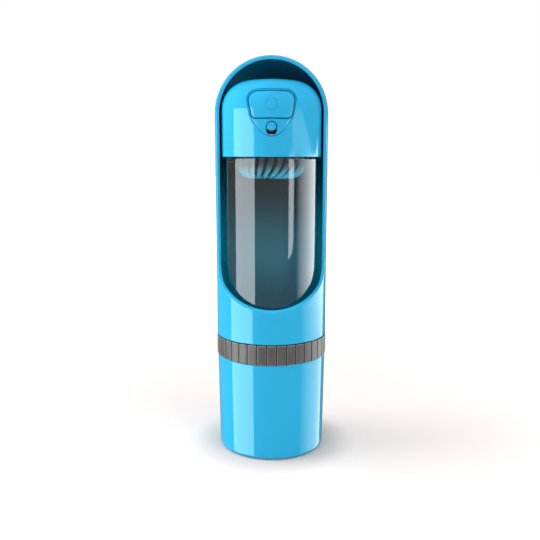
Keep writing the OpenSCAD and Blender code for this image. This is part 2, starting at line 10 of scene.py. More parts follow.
import bmesh
import bpy
import numpy as np
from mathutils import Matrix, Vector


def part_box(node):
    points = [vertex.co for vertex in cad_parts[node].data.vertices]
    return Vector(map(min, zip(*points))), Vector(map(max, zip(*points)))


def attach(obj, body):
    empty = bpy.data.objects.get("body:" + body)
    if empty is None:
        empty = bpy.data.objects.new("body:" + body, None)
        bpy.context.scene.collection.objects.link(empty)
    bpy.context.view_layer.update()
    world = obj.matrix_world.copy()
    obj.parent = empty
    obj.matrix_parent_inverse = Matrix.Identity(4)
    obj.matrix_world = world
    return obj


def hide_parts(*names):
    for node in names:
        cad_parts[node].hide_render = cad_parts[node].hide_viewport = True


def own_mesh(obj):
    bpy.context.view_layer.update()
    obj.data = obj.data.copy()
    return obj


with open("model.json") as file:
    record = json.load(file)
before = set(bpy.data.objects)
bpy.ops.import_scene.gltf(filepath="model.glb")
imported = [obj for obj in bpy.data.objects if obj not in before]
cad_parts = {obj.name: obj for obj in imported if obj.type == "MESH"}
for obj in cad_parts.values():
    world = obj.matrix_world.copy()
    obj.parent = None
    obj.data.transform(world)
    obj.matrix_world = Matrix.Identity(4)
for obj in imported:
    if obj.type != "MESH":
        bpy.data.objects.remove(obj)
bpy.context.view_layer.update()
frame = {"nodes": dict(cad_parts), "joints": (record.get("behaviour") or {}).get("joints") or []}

bl_info = {
    "name": "Travel bottle dressing",
    "version": (1, 0, 0),
    "blender": (4, 5, 0),
    "location": "3D View > Sidebar > Bottle",
    "description": "Dresses a packed travel water bottle: its shells, controls, finishes and studio",
    "category": "Object",
}
MM = 0.001
QUARTER = np.pi / 2


# ---------------------------------------------------------------- sizes and colours

def length(name, description, millimetres):
    """A length that the panel shows, given in millimetres."""
    return bpy.props.FloatProperty(name=name, description=description, default=millimetres * MM, unit="LENGTH",
                                   precision=5)


def angle(name, description, degrees):
    """An angle that the panel shows, given in degrees."""
    return bpy.props.FloatProperty(name=name, description=description, default=np.radians(degrees), unit="ROTATION")


def colour(name, description, linear):
    """A colour that the panel shows, in linear light."""
    return bpy.props.FloatVectorProperty(name=name, description=description, default=linear, subtype="COLOR", size=3,
                                         min=0, max=1)


def share(name, description, value, top=1.0):
    """A plain number that the panel shows."""
    return bpy.props.FloatProperty(name=name, description=description, default=value, min=0, max=top)


class SleeveSizes(bpy.types.PropertyGroup):
    """Sizes of the sliding sleeve, its window and its rim"""
    wall: length("Wall", "Thickness of the sleeve", 1.8)
    window_front: length("Window plane", "How far in front of the axis the window's upright rim stands", 10)
    sill_up: length("Sill", "Height of the window's lowest inner edge above the sleeve's lower end", 21)
    sill_slope: angle("Sill slope", "Slope of the sill towards the sides", 37)
    sill_blend: length("Sill blend", "Radius between the sloping sill and the upright rim", 18)
    rim_round: length("Rim rounding", "Reach of the rounding on the window's edges", 0.42)
    lip_bore: length("Lip bore", "Radius inside the lip that slides on the bottle", 30.1)
    lip_low: length("Lip low", "Height of the lip's underside", 75.0)
    lip_high: length("Lip high", "Height of the lip's upper side", 79.6)


class HeadSizes(bpy.types.PropertyGroup):
    """Sizes of the pouring head's cover"""
    wall: length("Wall", "Thickness of the cover", 2)
    shoulder: length("Shoulder", "Radius of the round shoulder", 17)
    crown: length("Crown", "Rise of the crowned top", 1.2)
    spout_y: length("Spout place", "How far behind the axis the spout stands", 9)
    spout_bore: length("Spout hole", "Radius of the spout's hole in the cover", 3.3)
    patch_turn: angle("Front field", "Half turn of the field that carries the controls", 42)


class ControlSizes(bpy.types.PropertyGroup):
    """Sizes of the button, its bezel and the lock"""
    button_z: length("Button height", "Height of the button's middle", 210.2)
    button_h: length("Button size", "Height of the button itself", 14.4)
    top_w: length("Upper width", "Width of the button's upper edge between its corner points", 28)
    low_w: length("Lower width", "Width of the button's lower edge between its corner points", 21.8)
    arch: length("Arch", "Rise of the upper edge", 0.5)
    proud: length("Proud", "How far the button stands out of the head", 0.4)
    gap: length("Gap", "Running gap round the button and the knob", 0.56)
    border: length("Border", "Border of the bezel round the button", 1.4)
    bezel_t: length("Bezel thickness", "Thickness of the bezel", 1)
    knob_z: length("Knob height", "Height of the lock's knob", 198.2)
    knob_r: length("Knob radius", "Radius of the lock's knob", 2.45)
    travel: length("Lock travel", "Travel of the lock", 1.9)
    drop_r: length("Drop radius", "Radius of the engraved water drop", 3.1)
    drop_tip: length("Drop tip", "Height of the drop's tip over its middle", 5.2)
    drop_deep: length("Drop depth", "Depth of the engraved line", 0.45)


class BottleSizes(bpy.types.PropertyGroup):
    """Sizes of the clear bottle"""
    wall: length("Wall", "Thickness of the bottle's wall", 1.8)
    foot_top: length("Foot", "Height of the underside of the bottle's floor", 79.5)
    floor_top: length("Floor", "Height of the upper side of the bottle's floor", 81.5)
    shoulder_z: length("Shoulder", "Height of the bottle's shoulder", 180.8)
    neck_r: length("Neck", "Outer radius of the neck", 25)
    thread_z: length("Thread", "Height at which the neck's threads start", 184.8)
    thread_lead: length("Lead", "Rise of the neck's threads in one turn", 6)
    lug_z: length("Lugs", "Height of the two lugs that stop the sleeve", 144.9)


class BasketSizes(bpy.types.PropertyGroup):
    """Sizes of the filter basket under the head"""
    drop: length("Drop", "Depth of the ribs' bowl below the head", 12.6)
    low: length("Low", "How much lower the ribs hang than the floor of the bowl", 0.7)
    narrows: length("Narrows", "How much narrower the bowl is at its floor", 10)
    rib_depth: length("Rib depth", "Depth of a rib from its face to its back", 2.2)
    slot: length("Slot", "Slot between two ribs", 1.9)
    arch: length("Arch", "Rise of a rib's rounded face over its edges", 0.7)
    swirl: angle("Swirl", "Turn of the ribs from top to bottom", 20)
    ribs: bpy.props.IntProperty(name="Ribs", description="Number of ribs", default=24, min=3)


class SpringSizes(bpy.types.PropertyGroup):
    """Sizes of the valve's spring"""
    wire: length("Wire", "Diameter of the spring's wire", 0.45)
    room: length("Room", "Height between the washer and the stem's flange with the valve shut", 5.6)
    turns: share("Turns", "Number of turns of the wire", 4.5, 9)


class CupSizes(bpy.types.PropertyGroup):
    """Sizes of the food cup and the knurled collar over it"""
    wall: length("Wall", "Thickness of the cup's wall", 2)
    floor: length("Floor", "Thickness of the cup's floor", 2.4)
    hollow: length("Hollow", "Depth of the hollow under the cup", 1)
    edge: length("Edge", "Rounding of the cup's lower edge", 2.6)
    taper: length("Taper", "How much narrower the cup is at the floor", 1)
    skirt_z: length("Skirt", "Height to which the collar's skirt reaches down", 51)
    thread_z: length("Thread", "Height at which the cup's threads start", 53.6)
    thread_lead: length("Lead", "Rise of the cup's threads in one turn", 9)
    groove_w: length("Groove width", "Width of a groove of the collar's grip", 0.9)
    groove_d: length("Groove depth", "Depth of a groove of the collar's grip", 0.5)
    grooves: bpy.props.IntProperty(name="Grooves", description="Number of grooves round the collar", default=36, min=6)


class Finishes(bpy.types.PropertyGroup):
    """Colours of the finishes"""
    blue: colour("Blue", "Moulded plastic of the sleeve, cup and head", (0.0222, 0.473, 0.836))
    # Painted shade: the sleeve's inside is coloured this dark teal where shade falls in it
    inner: colour("Inner blue", "Duller moulded plastic inside the sleeve", (0.03, 0.30, 0.40))
    # Painted light: a lighter blue glow low in the sleeve's foot, behind the clear bottle
    deep: colour("Deep blue", "Lighter moulded plastic deep inside the sleeve's foot", (0.01, 0.66, 0.88))
    rib: colour("Rib blue", "Bright plastic of the basket's ribs", (0.07, 0.7, 1.0))
    # Painted shade of the head over the basket's upper ribs
    head_shadow: colour("Residue", "Stain on the basket where it stays wet", (0.035, 0.07, 0.073))
    grey: colour("Grey", "Rubbery plastic of the collar", (0.098, 0.092, 0.088))
    clear: colour("Clear", "Tint of the clear bottle's front", (0.95, 0.965, 0.975))
    rim: colour("Clear rim", "Tint of the clear wall seen edge on", (0.2, 0.25, 0.28))
    # Painted shade: darkens the top of the clear bottle's back
    top_shade: colour("Smoke", "Tint of the clear bottle's back at its top", (0.33, 0.33, 0.33))
    # Painted light: a blue cast from the sleeve on the foot of the clear bottle's back
    foot: colour("Foot", "Tint of the clear bottle's back at its foot", (0.58, 0.84, 0.9))
    haze: colour("Haze", "Tint of the clouds in the clear bottle's back", (0.5, 0.56, 0.58))
    white: colour("White", "Plastic of the cap inside the head", (0.74, 0.75, 0.76))
    seal: colour("Seal", "Grey silicone", (0.22, 0.225, 0.23))
    gasket: colour("Gasket", "Clear silicone", (0.62, 0.64, 0.66))
    steel: colour("Steel", "Spring wire and clip", (0.56, 0.56, 0.57))
    felt: colour("Felt", "Filter felt", (0.018, 0.0185, 0.02))
    carbon: colour("Carbon", "Grains in the filter felt", (0.16, 0.16, 0.165))


class Studio(bpy.types.PropertyGroup):
    """The camera, the lamps and the ground"""
    lens: share("Lens", "Focal length in millimetres on a 36 mm sensor", 44.667, 500)
    camera_x: length("Camera x", "Place of the camera to the right of the axis", -0.88)
    camera_back: length("Camera back", "Distance of the camera in front of the axis", 413.4)
    camera_z: length("Camera z", "Height of the camera", 181)
    camera_dip: angle("Camera dip", "How far the camera looks down", 9.53)
    strip: share("Strip", "Brightness of the left soft box in gloss", 2.5, 50)
    wash: share("Wash", "Brightness of the right soft box in gloss", 2.7, 50)
    key_lamp: share("Key lamp", "Power of the left lamp in watts", 32.5, 500)
    fill_lamp: share("Fill lamp", "Power of the right lamp in watts", 10, 500)
    top_lamp: share("Top lamp", "Power of the overhead lamp in watts", 18, 500)
    ambient: share("Ambient", "Level of the surroundings in matt surfaces", 0.3, 5)
    mirrored: share("Mirrored", "Level of the white surroundings in gloss", 0.2, 5)
    through: share("Through", "Level of the white surroundings seen through clear plastic", 1.0, 5)
    ground: share("Ground", "Share of white that the camera sees in the ground without its light", 0.25, 2)
    floor: colour("Floor", "The ground's own colour", (0.725, 0.664, 0.634))


def shown(group):
    """The properties that a group's class adds."""
    return [item for item in group.bl_rna.properties if item.identifier not in ("name", "rna_type")]


def measures(name):
    """The values of a group, its lengths in millimetres."""
    group, values = getattr(bpy.context.scene, "bottle_" + name), {}
    for item in shown(group):
        value = getattr(group, item.identifier)
        values[item.identifier] = value / MM if item.unit == "LENGTH" else value
    return SimpleNamespace(**values)


# ---------------------------------------------------------------- shapes

def span(node, digits=1):
    """Lowest and highest corner of a solid in millimetres, mostly to the tenth that the solids are drawn in."""
    return [np.round(np.array(corner) / MM, digits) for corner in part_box(node)]


def points(*axes):
    """Points from their coordinates, each of which is first spread to the shape of all."""
    return np.stack(np.broadcast_arrays(*axes), -1)


def polar(r, a, *z, y=0):
    """Points at a radius and a turn, and at a height if there is one: x = r cos a, y = r sin a."""
    return points(r * np.cos(a), y + r * np.sin(a), *z)


def circle(columns):
    """Turns at even steps once round."""
    return np.linspace(0, 2 * np.pi, columns, endpoint=False)


def unit(vectors):
    """Each vector divided by its length."""
    return vectors / np.maximum(np.linalg.norm(vectors, axis=-1, keepdims=True), 1e-12)


def blend(a, b, t):
    """Moves from a to b by the share t."""
    return a * (1 - t) + b * t


def eased(corners, steps=6, closed=True, hold=0.4):
    """Corner points (across, up, radius) joined by straight lines, with each corner turned into an arc. The arc's
    middle lies on the corner's bisector, radius / sin(half the corner's angle) away, and its points are the two
    touching radii blended by sines. Points at the distance hold from each arc keep the long flats flat."""
    corners = np.asarray(corners, float)
    at, r = corners[:, :2], corners[:, 2:]
    back, on = unit(np.roll(at, 1, 0) - at), unit(np.roll(at, -1, 0) - at)
    half = np.arccos(np.clip((back * on).sum(1, keepdims=True), -1, 1)) / 2
    middle = at + unit(back + on) * r / np.sin(half)
    first, last = at + back * r / np.tan(half) - middle, at + on * r / np.tan(half) - middle
    turn = np.maximum(np.pi - 2 * half, 1e-6)[:, None]
    t = np.linspace(0, 1, steps + 1)[None, :, None]
    arcs = (np.sin((1 - t) * turn) * first[:, None] + np.sin(t * turn) * last[:, None]) / np.sin(turn)
    line = (middle[:, None] + arcs).reshape(-1, 2)
    if closed:
        line = np.concatenate([line, line[:1]])
    else:
        line = np.concatenate([at[:1], line[steps + 1:-steps - 1], at[-1:]])
    step = np.diff(line, axis=0)
    run = np.linalg.norm(step, axis=1, keepdims=True)
    part = np.where(run > 3 * hold, hold / np.maximum(run, 1e-9), 0)
    line = np.concatenate([np.stack([line[:-1], line[:-1] + step * part, line[1:] - step * part], 1).reshape(-1, 2),
                           line[-1:]])
    return line[np.r_[True, np.linalg.norm(np.diff(line, axis=0), axis=1) > 1e-6]]


def spaced(line, count):
    """count points spread evenly along a line by its length."""
    run = np.r_[0, np.cumsum(np.linalg.norm(np.diff(line, axis=0), axis=1))]
    at = np.linspace(0, run[-1], count)
    return points(*[np.interp(at, run, axis) for axis in line.T])


def block(corners, count):
    """An eased closed outline as evenly spaced points."""
    return spaced(eased(corners, 5), count)[:-1]


class Skin:
    """A closed skin made of sheets: each sheet is a grid of points, shaped (rows, columns, 3)."""

    def __init__(self):
        self.points, self.faces, self.count = [], [], 0

    def sheet(self, grid, around=False):
        """Adds a sheet; with around, its last column joins its first."""
        rows, columns = grid.shape[:2]
        index = np.arange(rows * columns).reshape(rows, columns) + self.count
        left = index if around else index[:, :-1]
        right = np.roll(index, -1, 1) if around else index[:, 1:]
        self.faces.append(np.stack([left[:-1], right[:-1], right[1:], left[1:]], -1).reshape(-1, 4))
        self.points.append(grid.reshape(-1, 3))
        self.count += rows * columns
        return self

    def tube(self, grid):
        """Adds a sheet that closes round its columns, with both ends drawn in to their middles."""
        ends = [np.broadcast_to(grid[k].mean(0), grid[k].shape)[None] for k in (0, -1)]
        return self.sheet(np.concatenate([ends[0], grid, ends[1]]), around=True)

    def lathe(self, corners, steps, closed=True, columns=160, y=0):
        """Adds an eased profile of (radius, height, rounding) corners, turned about an upright axis."""
        profile = eased(corners, steps, closed)
        return self.sheet(polar(profile[:, :1], circle(columns), profile[:, 1:], y=y), around=True)

    def threads(self, wall_r, sign, z, lead, width, starts=3, steps=36):
        """Adds threads outside a wall, or inside it where sign is -1: a trapezoid carried a quarter turn up a helix.
        At the share t of its turn it has risen by lead times that turn, and its height runs in and out over a tenth
        of its length."""
        t = np.linspace(0, 1, steps + 1)[:, None]
        rise = 0.9 * np.clip(np.minimum(t, 1 - t) / 0.1, 0.02, 1) ** 0.5
        across = np.array([-0.5, -0.42, -0.3, -0.2, 0.2, 0.3, 0.42, 0.5]) * width
        out = np.array([-0.06, 0.35, 0.9, 1, 1, 0.9, 0.35, -0.06])
        r = wall_r + sign * np.where(out < 0, out, out * rise)
        for start in circle(starts):
            self.tube(polar(r, QUARTER * t + start, z + across + lead * t / 4))
        return self

    def piece(self, name, body, finish, *nodes, mirrored=False):
        """Makes the object: doubles merged, faces turned outwards, every edge between two faces."""
        points, faces = np.concatenate(self.points) * MM, np.concatenate(self.faces)
        if mirrored:
            points = np.concatenate([points, points * [-1, 1, 1]])
            faces = np.concatenate([faces, faces[:, ::-1] + self.count])
        old = bpy.data.objects.get(name)
        if old is not None:
            bpy.data.objects.remove(old)
        mesh = bpy.data.meshes.new(name)
        mesh.from_pydata(points, [], faces.tolist())
        work = bmesh.new()
        work.from_mesh(mesh)
        bmesh.ops.remove_doubles(work, verts=work.verts, dist=2e-6)
        bmesh.ops.dissolve_degenerate(work, dist=1e-7, edges=work.edges)
        bmesh.ops.recalc_face_normals(work, faces=work.faces)
        loose = sum(len(edge.link_faces) != 2 for edge in work.edges)
        work.to_mesh(mesh)
        work.free()
        if loose:
            raise RuntimeError(f"{name} has {loose} edges that don't join two faces")
        mesh.shade_smooth()
        mesh.materials.append(bpy.data.materials[finish])
        made = bpy.data.objects.new(name, mesh)
        bpy.context.scene.collection.objects.link(made)
        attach(made, body)
        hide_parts(*nodes)
        return made


# ---------------------------------------------------------------- finishes

# Between which heights, depths or radii, in metres, one look goes over into another
# The first two pairs bound the painted shade and the painted glow inside the sleeve
FOOT_FADE, HOOD_FADE, RUBBED = (0.13, 0.17), (0.185, 0.205), (0.0, 0.012)
# The first pair bounds the painted shade of the head on the basket's ribs
# The second pair bounds the painted shade at the top of the clear bottle's back
HEAD_SHADED, TOP_SHADED, REAR, COATED = (0.1715, 0.179), (0.1, 0.178), (-0.004, 0.012), (0.0284, 0.029)
# CONTACT bounds the painted contact shadow round the cup's foot
CONTACT, BACKDROP = (0.032, 0.056), (0.08, 0.55)


class Wire:
    """A socket that carries a number; arithmetic on it adds the Math nodes that work it out."""

    def __init__(self, paint, socket):
        self.paint, self.socket = paint, socket

    def __add__(self, other):
        return self.paint.maths("ADD", self, other)

    def __sub__(self, other):
        return self.paint.maths("SUBTRACT", self, other)

    def __rsub__(self, other):
        return self.paint.maths("SUBTRACT", other, self)

    def __mul__(self, other):
        return self.paint.maths("MULTIPLY", self, other)

    __radd__, __rmul__ = __add__, __mul__

    def most(self, other):
        """The larger of this and another number."""
        return self.paint.maths("MAXIMUM", self, other)

    def smooth(self, low, high):
        """0 below low, 1 above high and an S curve between them."""
        return self.paint.add("MapRange", {"interpolation_type": "SMOOTHSTEP"},
                              {0: self, 1: low, 2: high, 3: 0.0, 4: 1.0})


class Paint:
    """The node tree of a finish, and the one way to add to it."""

    def __init__(self, tree):
        self.tree = tree
        tree.nodes.clear()

    def add(self, kind, settings=None, sockets=None, out=0):
        """A shader node of a kind, its settings, then the values or links of its sockets by name or place."""
        node = self.tree.nodes.new("ShaderNode" + kind)
        for name, value in (settings or {}).items():
            setattr(node, name, value)
        for name, value in (sockets or {}).items():
            if isinstance(value, Wire):
                self.tree.links.new(value.socket, node.inputs[name])
            else:
                node.inputs[name].default_value = value
        return Wire(self, node.outputs[out]) if node.outputs else None

    def maths(self, operation, a, b=0.0):
        """One Math node."""
        return self.add("Math", {"operation": operation}, {0: a, 1: b})

    def spot(self):
        """Object coordinates."""
        return self.add("TexCoord", out="Object")

    def along(self, axis):
        """One of the object's coordinates, in metres: 2 is the height above the ground."""
        return self.add("SeparateXYZ", None, {0: self.spot()}, axis)

    def stretched(self, stretch):
        """Object coordinates, each multiplied by its stretch."""
        return self.add("Mapping", {"vector_type": "POINT"}, {"Vector": self.spot(), "Scale": stretch})

    def size(self, vector):
        """The length of a vector."""
        return self.add("VectorMath", {"operation": "LENGTH"}, {0: vector}, "Value")

    def radius(self):
        """Distance from the upright axis, in metres."""
        return self.size(self.stretched((1, 1, 0)))

    def noise(self, scale, detail=3, stretch=(1, 1, 1), rough=0.5):
        """Fine noise, about 0 to 1, scale features in a metre."""
        return self.add("TexNoise", None, {"Vector": self.stretched(stretch), "Scale": scale, "Detail": detail,
                                           "Roughness": rough})

    def mix(self, factor, a, b):
        """One colour blended into another."""
        return self.add("Mix", {"data_type": "RGBA"}, {0: factor, 6: a, 7: b}, 2)

    def cloud(self, noise, tint, dark, light):
        """A tint that a noise makes darker and lighter."""
        return self.mix(noise.smooth(0.3, 0.7), shade(tint, dark), shade(tint, light))

    def surface(self, tone, rough, relief, strength, depth, plain):
        """Ends the tree in one Principled shader: its colour, its roughness, a relief with its strength and its depth
        in metres, and the sockets that are the same all over."""
        normal = self.add("Bump", None, {"Strength": strength, "Distance": depth, "Height": relief})
        shader = self.add("BsdfPrincipled", None, {"Base Color": tone, "Roughness": rough, "Normal": normal, **plain})
        self.add("OutputMaterial", None, {"Surface": shader})


def new_finish(name):
    """The paint for an empty material under this name."""
    old = bpy.data.materials.get(name)
    if old is not None:
        bpy.data.materials.remove(old)
    material = bpy.data.materials.new(name)
    material.use_nodes = True
    return Paint(material.node_tree)


def shade(tint, by=1):
    """A linear colour made by times as bright, with full alpha."""
    return (*[min(1.0, channel * by) for channel in tint], 1)


def gloss_plastic(name, tints, hollow=None):
    """Glossy injection-moulded plastic: faint flow clouds in its colour, a polish that varies a little, fine rubbed
    marks that gather near the ground, and the slow waviness of a moulded wall. A hollow piece is unpolished inside,
    and its inside is painted with shade: dark teal in the hood, darker still behind the bottle, with darker specks,
    and a painted glow of lighter blue low in the sleeve's foot. hollow gives the radius that its inside reaches out to
    and the height where its dome begins."""
    paint = new_finish(name)
    clouds = paint.noise(38, 2, (1, 1, 0.35))
    marks = paint.noise(900, 3, (1, 1, 0.12)).smooth(0.62, 0.8)
    low = 1 - paint.along(2).smooth(*RUBBED)
    tone = paint.cloud(clouds, tints.blue, 0.965, 1.03)
    tone = paint.mix(marks * low * 0.25, tone, (*[channel * 0.7 + 0.25 for channel in tints.blue], 1))
    rough = 0.05 + clouds * 0.03 + marks * (low * 0.25 + 0.02)
    if hollow:
        r, dome = hollow
        x, y, height = [paint.along(axis) for axis in range(3)]
        over = (height - dome).most(0.0)
        inside = 1 - paint.maths("SQRT", x * x + y * y + over * over).smooth(r - 0.0002, r + 0.0004)
        grit = paint.noise(1600, 3)
        # Painted shade inside the sleeve, with a painted glow of lighter blue at its foot
        inside_shade_and_glow = paint.mix(height.smooth(*FOOT_FADE), shade(tints.deep), shade(tints.inner, 0.6))
        inside_shade_and_glow = paint.mix(height.smooth(*HOOD_FADE), inside_shade_and_glow, shade(tints.inner))
        tone = paint.mix(inside, tone, paint.mix(grit.smooth(0.3, 0.7) * 0.3, inside_shade_and_glow, shade(tints.inner, 0.3)))
        rough = rough + inside * (grit * 0.2 + 0.28)
    waves = paint.noise(22, 1) + paint.noise(2400, 2) * 0.012
    paint.surface(tone, rough, waves, 0.12, 0.0004, {"IOR": 1.7, "Specular Tint": (0.97, 1.24, 0.9, 1)})


def rib_plastic(tints):
    """The basket's bright blue plastic, with painted shade over the ribs' upper part where the head shades them."""
    paint = new_finish("blue_plastic_ribs")
    mottle = paint.noise(420, 3)
    # Painted shade of the head over the ribs' upper part; the noise wobbles its lower edge
    high = (paint.along(2) + mottle * 0.003).smooth(*HEAD_SHADED)
    tone = paint.mix(high, paint.cloud(mottle, tints.rib, 0.85, 1), shade(tints.head_shadow))
    paint.surface(tone, 0.14 + mottle * 0.08, mottle, 0.3, 0.0001, {"IOR": 1.5})


def grip_plastic(tint, r):
    """The collar's matt, slightly rubbery grey: spark-eroded grain, darker in blotches, paler where hands rub it, with
    a painted highlight along the edges of its grooves and painted shade at their bottoms."""
    paint = new_finish("collar_grey_grip")
    grain, blotch, reach = paint.noise(3200, 2), paint.noise(110, 3), paint.radius()
    tone = paint.mix(grain.smooth(0.55, 0.8) * 0.35, paint.cloud(blotch, tint, 0.88, 1.12), shade(tint, 1.7))
    # Painted highlight on the chamfers at the grooves' edges
    edge_highlight = reach.smooth(r - 0.00024, r - 0.00014) * (1 - reach.smooth(r - 0.00008, r - 0.00001))
    tone = paint.mix(edge_highlight * 0.9, tone, shade(tint, 4.2))
    # Painted shade at the bottoms of the grooves
    tone = paint.mix(reach.smooth(r - 0.0005, r - 0.0003), shade(tint, 0.12), tone)
    paint.surface(tone, 0.34 + grain * 0.12, grain + blotch * 0.4, 0.5, 0.00006, {"IOR": 1.75})


def clear_plastic(tints):
    """Clear moulded plastic with faint waviness: clear and polished in front; its back is duller, with painted shade
    towards the top and a painted blue cast from the sleeve at its foot. A wall seen edge on is darker."""
    paint = new_finish("clear_plastic_wall")
    rear = paint.along(1).smooth(*REAR)
    clouds = paint.noise(30, 2, (1, 1, 0.3))
    # The back's tint: painted blue light at the foot, painted shade towards the top
    tone = paint.mix(paint.along(2).smooth(*TOP_SHADED), shade(tints.foot), shade(tints.top_shade))
    tone = paint.mix(clouds.smooth(0.35, 0.7) * 0.12, tone, shade(tints.haze))
    edge = paint.add("LayerWeight", None, {"Blend": 0.5}, "Facing").smooth(0.6, 1.0)
    tone = paint.mix(edge * (1 - rear) * 0.6, paint.mix(rear, shade(tints.clear), tone), shade(tints.rim))
    paint.surface(tone, 0.012 + clouds * 0.02 + rear * 0.3, paint.noise(26, 1, (1, 1, 0.3)), 0.1, 0.0003, {
        "IOR": 1.1, "Transmission Weight": 1.0, "Coat Roughness": 0.02, "Coat IOR": 2.06,
        "Coat Weight": paint.radius().smooth(*COATED) * (1 - rear * 0.95)})


def satin_plastic(tint):
    """Satin white plastic of the inner cap, with fine grain."""
    paint = new_finish("white_plastic_satin")
    clouds, grain = paint.noise(90, 3), paint.noise(2600, 2)
    paint.surface(paint.cloud(clouds, tint, 0.94, 1.04), 0.3 + grain * 0.14, grain, 0.35, 0.00004, {"IOR": 1.5})


def silicone(name, tint, through):
    """Soft silicone: matt, dusted with lighter specks, and a little light passes into it."""
    paint = new_finish(name)
    dust, clouds = paint.noise(1800, 3), paint.noise(140, 2)
    tone = paint.mix(dust.smooth(0.6, 0.85) * 0.3, paint.cloud(clouds, tint, 0.9, 1.08), shade(tint, 1.5))
    paint.surface(tone, 0.48 + dust * 0.2, dust, 0.4, 0.00005, {"IOR": 1.43, "Transmission Weight": through})


def wire_steel(tint):
    """Drawn stainless steel: fine streaks along its turns, in its polish and its relief."""
    paint = new_finish("steel_drawn")
    streaks = paint.noise(900, 4, (1, 1, 7))
    paint.surface(paint.cloud(streaks, tint, 0.86, 1.12), 0.2 + streaks * 0.16, streaks, 0.4, 0.00003,
                  {"Metallic": 1.0})


def needle_felt(tint, carbon):
    """Black filter felt: matted fibres in colour and relief, with grey carbon grains."""
    paint = new_finish("filter_felt_fibre")
    fibres, grains = paint.noise(1500, 5, (1, 1, 0.25), 0.7), paint.noise(700, 2).smooth(0.6, 0.75)
    tone = paint.mix(fibres.smooth(0.3, 0.75), shade(tint, 0.6), shade(tint, 2.2))
    paint.surface(paint.mix(grains * 0.5, tone, shade(carbon)), 0.85, fibres, 0.9, 0.0004, {"Sheen Weight": 0.3})


def dress(node, finish):
    """Puts a finish on a solid that stays as it is."""
    mesh, material = frame["nodes"][node].data, bpy.data.materials[finish]
    if not mesh.materials:
        mesh.materials.append(material)
    for k in range(len(mesh.materials)):
        mesh.materials[k] = material


# ---------------------------------------------------------------- the head's form and the controls' outlines

class HeadForm:
    """The head's outer skin, and its copies shrunk by an inset: a drum, a round shoulder about a ring of the radius
    flat at the height ring, and a shallow spherical crown over the flat."""

    def __init__(self, head):
        low, high = span("head_cover")
        self.low, self.top, self.r, self.shoulder = low[2], high[2], high[0], head.shoulder
        self.flat = self.r - head.shoulder
        self.ring = self.top - head.crown - head.shoulder
        self.dome_r = (self.flat ** 2 + head.crown ** 2) / (2 * head.crown)

    def reach(self, z, inset):
        """Radius at a height: r - inset below the ring, then flat + sqrt((shoulder - inset)^2 - (z - ring)^2)."""
        s = self.shoulder - inset
        return self.flat + np.sqrt(np.maximum(s ** 2 - np.clip(z - self.ring, 0, s) ** 2, 0))

    def front(self, flat, inset):
        """Points (x, z) as seen from the front, laid on the skin: y = -sqrt(reach^2 - x^2)."""
        x, z = flat[..., 0], flat[..., 1]
        return points(x, -np.sqrt(np.maximum(self.reach(z, inset) ** 2 - x ** 2, 0)), z)

    def over(self, x, y, inset):
        """Points on the crown: a sphere of the radius dome_r whose pole is the top."""
        return points(x, y, self.top - inset - self.dome_r + np.sqrt(self.dome_r ** 2 - x ** 2 - y ** 2))


def button_outline(c, g):
    """The button's outline seen from the front, each side moved out by g: wider above, its upper edge arched."""
    top, low = c.top_w / 2 + 1.2 * g, c.low_w / 2 + 0.8 * g
    z_top, z_low = c.button_z + c.button_h / 2 + g, c.button_z - c.button_h / 2 - g
    return spaced(eased([[-top, z_top, 5 + g], [-low, z_low, 2.4 + g], [low, z_low, 2.4 + g], [top, z_top, 5 + g],
                         [0, z_top + c.arch, 120]], 24), 1200)


def bezel_outline(c, g):
    """The bezel's shield outline, moved out by g: it follows the button, then draws in to a tip below the lock."""
    b = c.border + g
    top, waist = c.top_w / 2 + 0.9 * b, c.low_w / 2 + b
    z_top, z_waist = c.button_z + c.button_h / 2 + b, c.button_z - c.button_h / 2 + 0.6
    z_tip = c.knob_z - c.travel - c.knob_r - 5.4 - 1.2 * b
    return spaced(eased([[-top, z_top, 6], [-waist, z_waist, 14], [0, z_tip, 8.5], [waist, z_waist, 14],
                         [top, z_top, 6], [0, z_top + c.arch, 120]], 24), 1200)


def slot_outline(c, g):
    """The lock's slot moved out by g: two half circles of the knob's radius, a travel apart."""
    a = np.linspace(0, np.pi, 60)
    half = polar(c.knob_r + g, a)
    loop = np.concatenate([half + [0, c.knob_z], [0, c.knob_z - c.travel] - half])
    return spaced(np.concatenate([loop, loop[:1]]), 600)


def bearing(path, centre):
    """Angles of points seen from a centre."""
    return np.arctan2(path[:, 1] - centre[1], path[:, 0] - centre[0])


def rays(loop, centre, turns):
    """Points of a closed loop that are met from a centre at the given angles, read off the loop's own angles. An angle
    of a quarter turn up or down meets it on the middle line."""
    around = bearing(loop, centre)
    order = np.argsort(around)
    met = points(*[np.interp(turns, around[order], axis[order]) for axis in loop.T])
    met[np.abs(np.abs(turns) - QUARTER) < 1e-9, 0] = 0
    return met


def fanned(seen, count, first):
    """count angles from first up to a quarter turn, spread like the sorted angles seen."""
    fan = np.interp(np.linspace(0, 1, count), np.linspace(0, 1, len(seen)), seen)
    fan[0], fan[-1] = first, QUARTER
    return fan


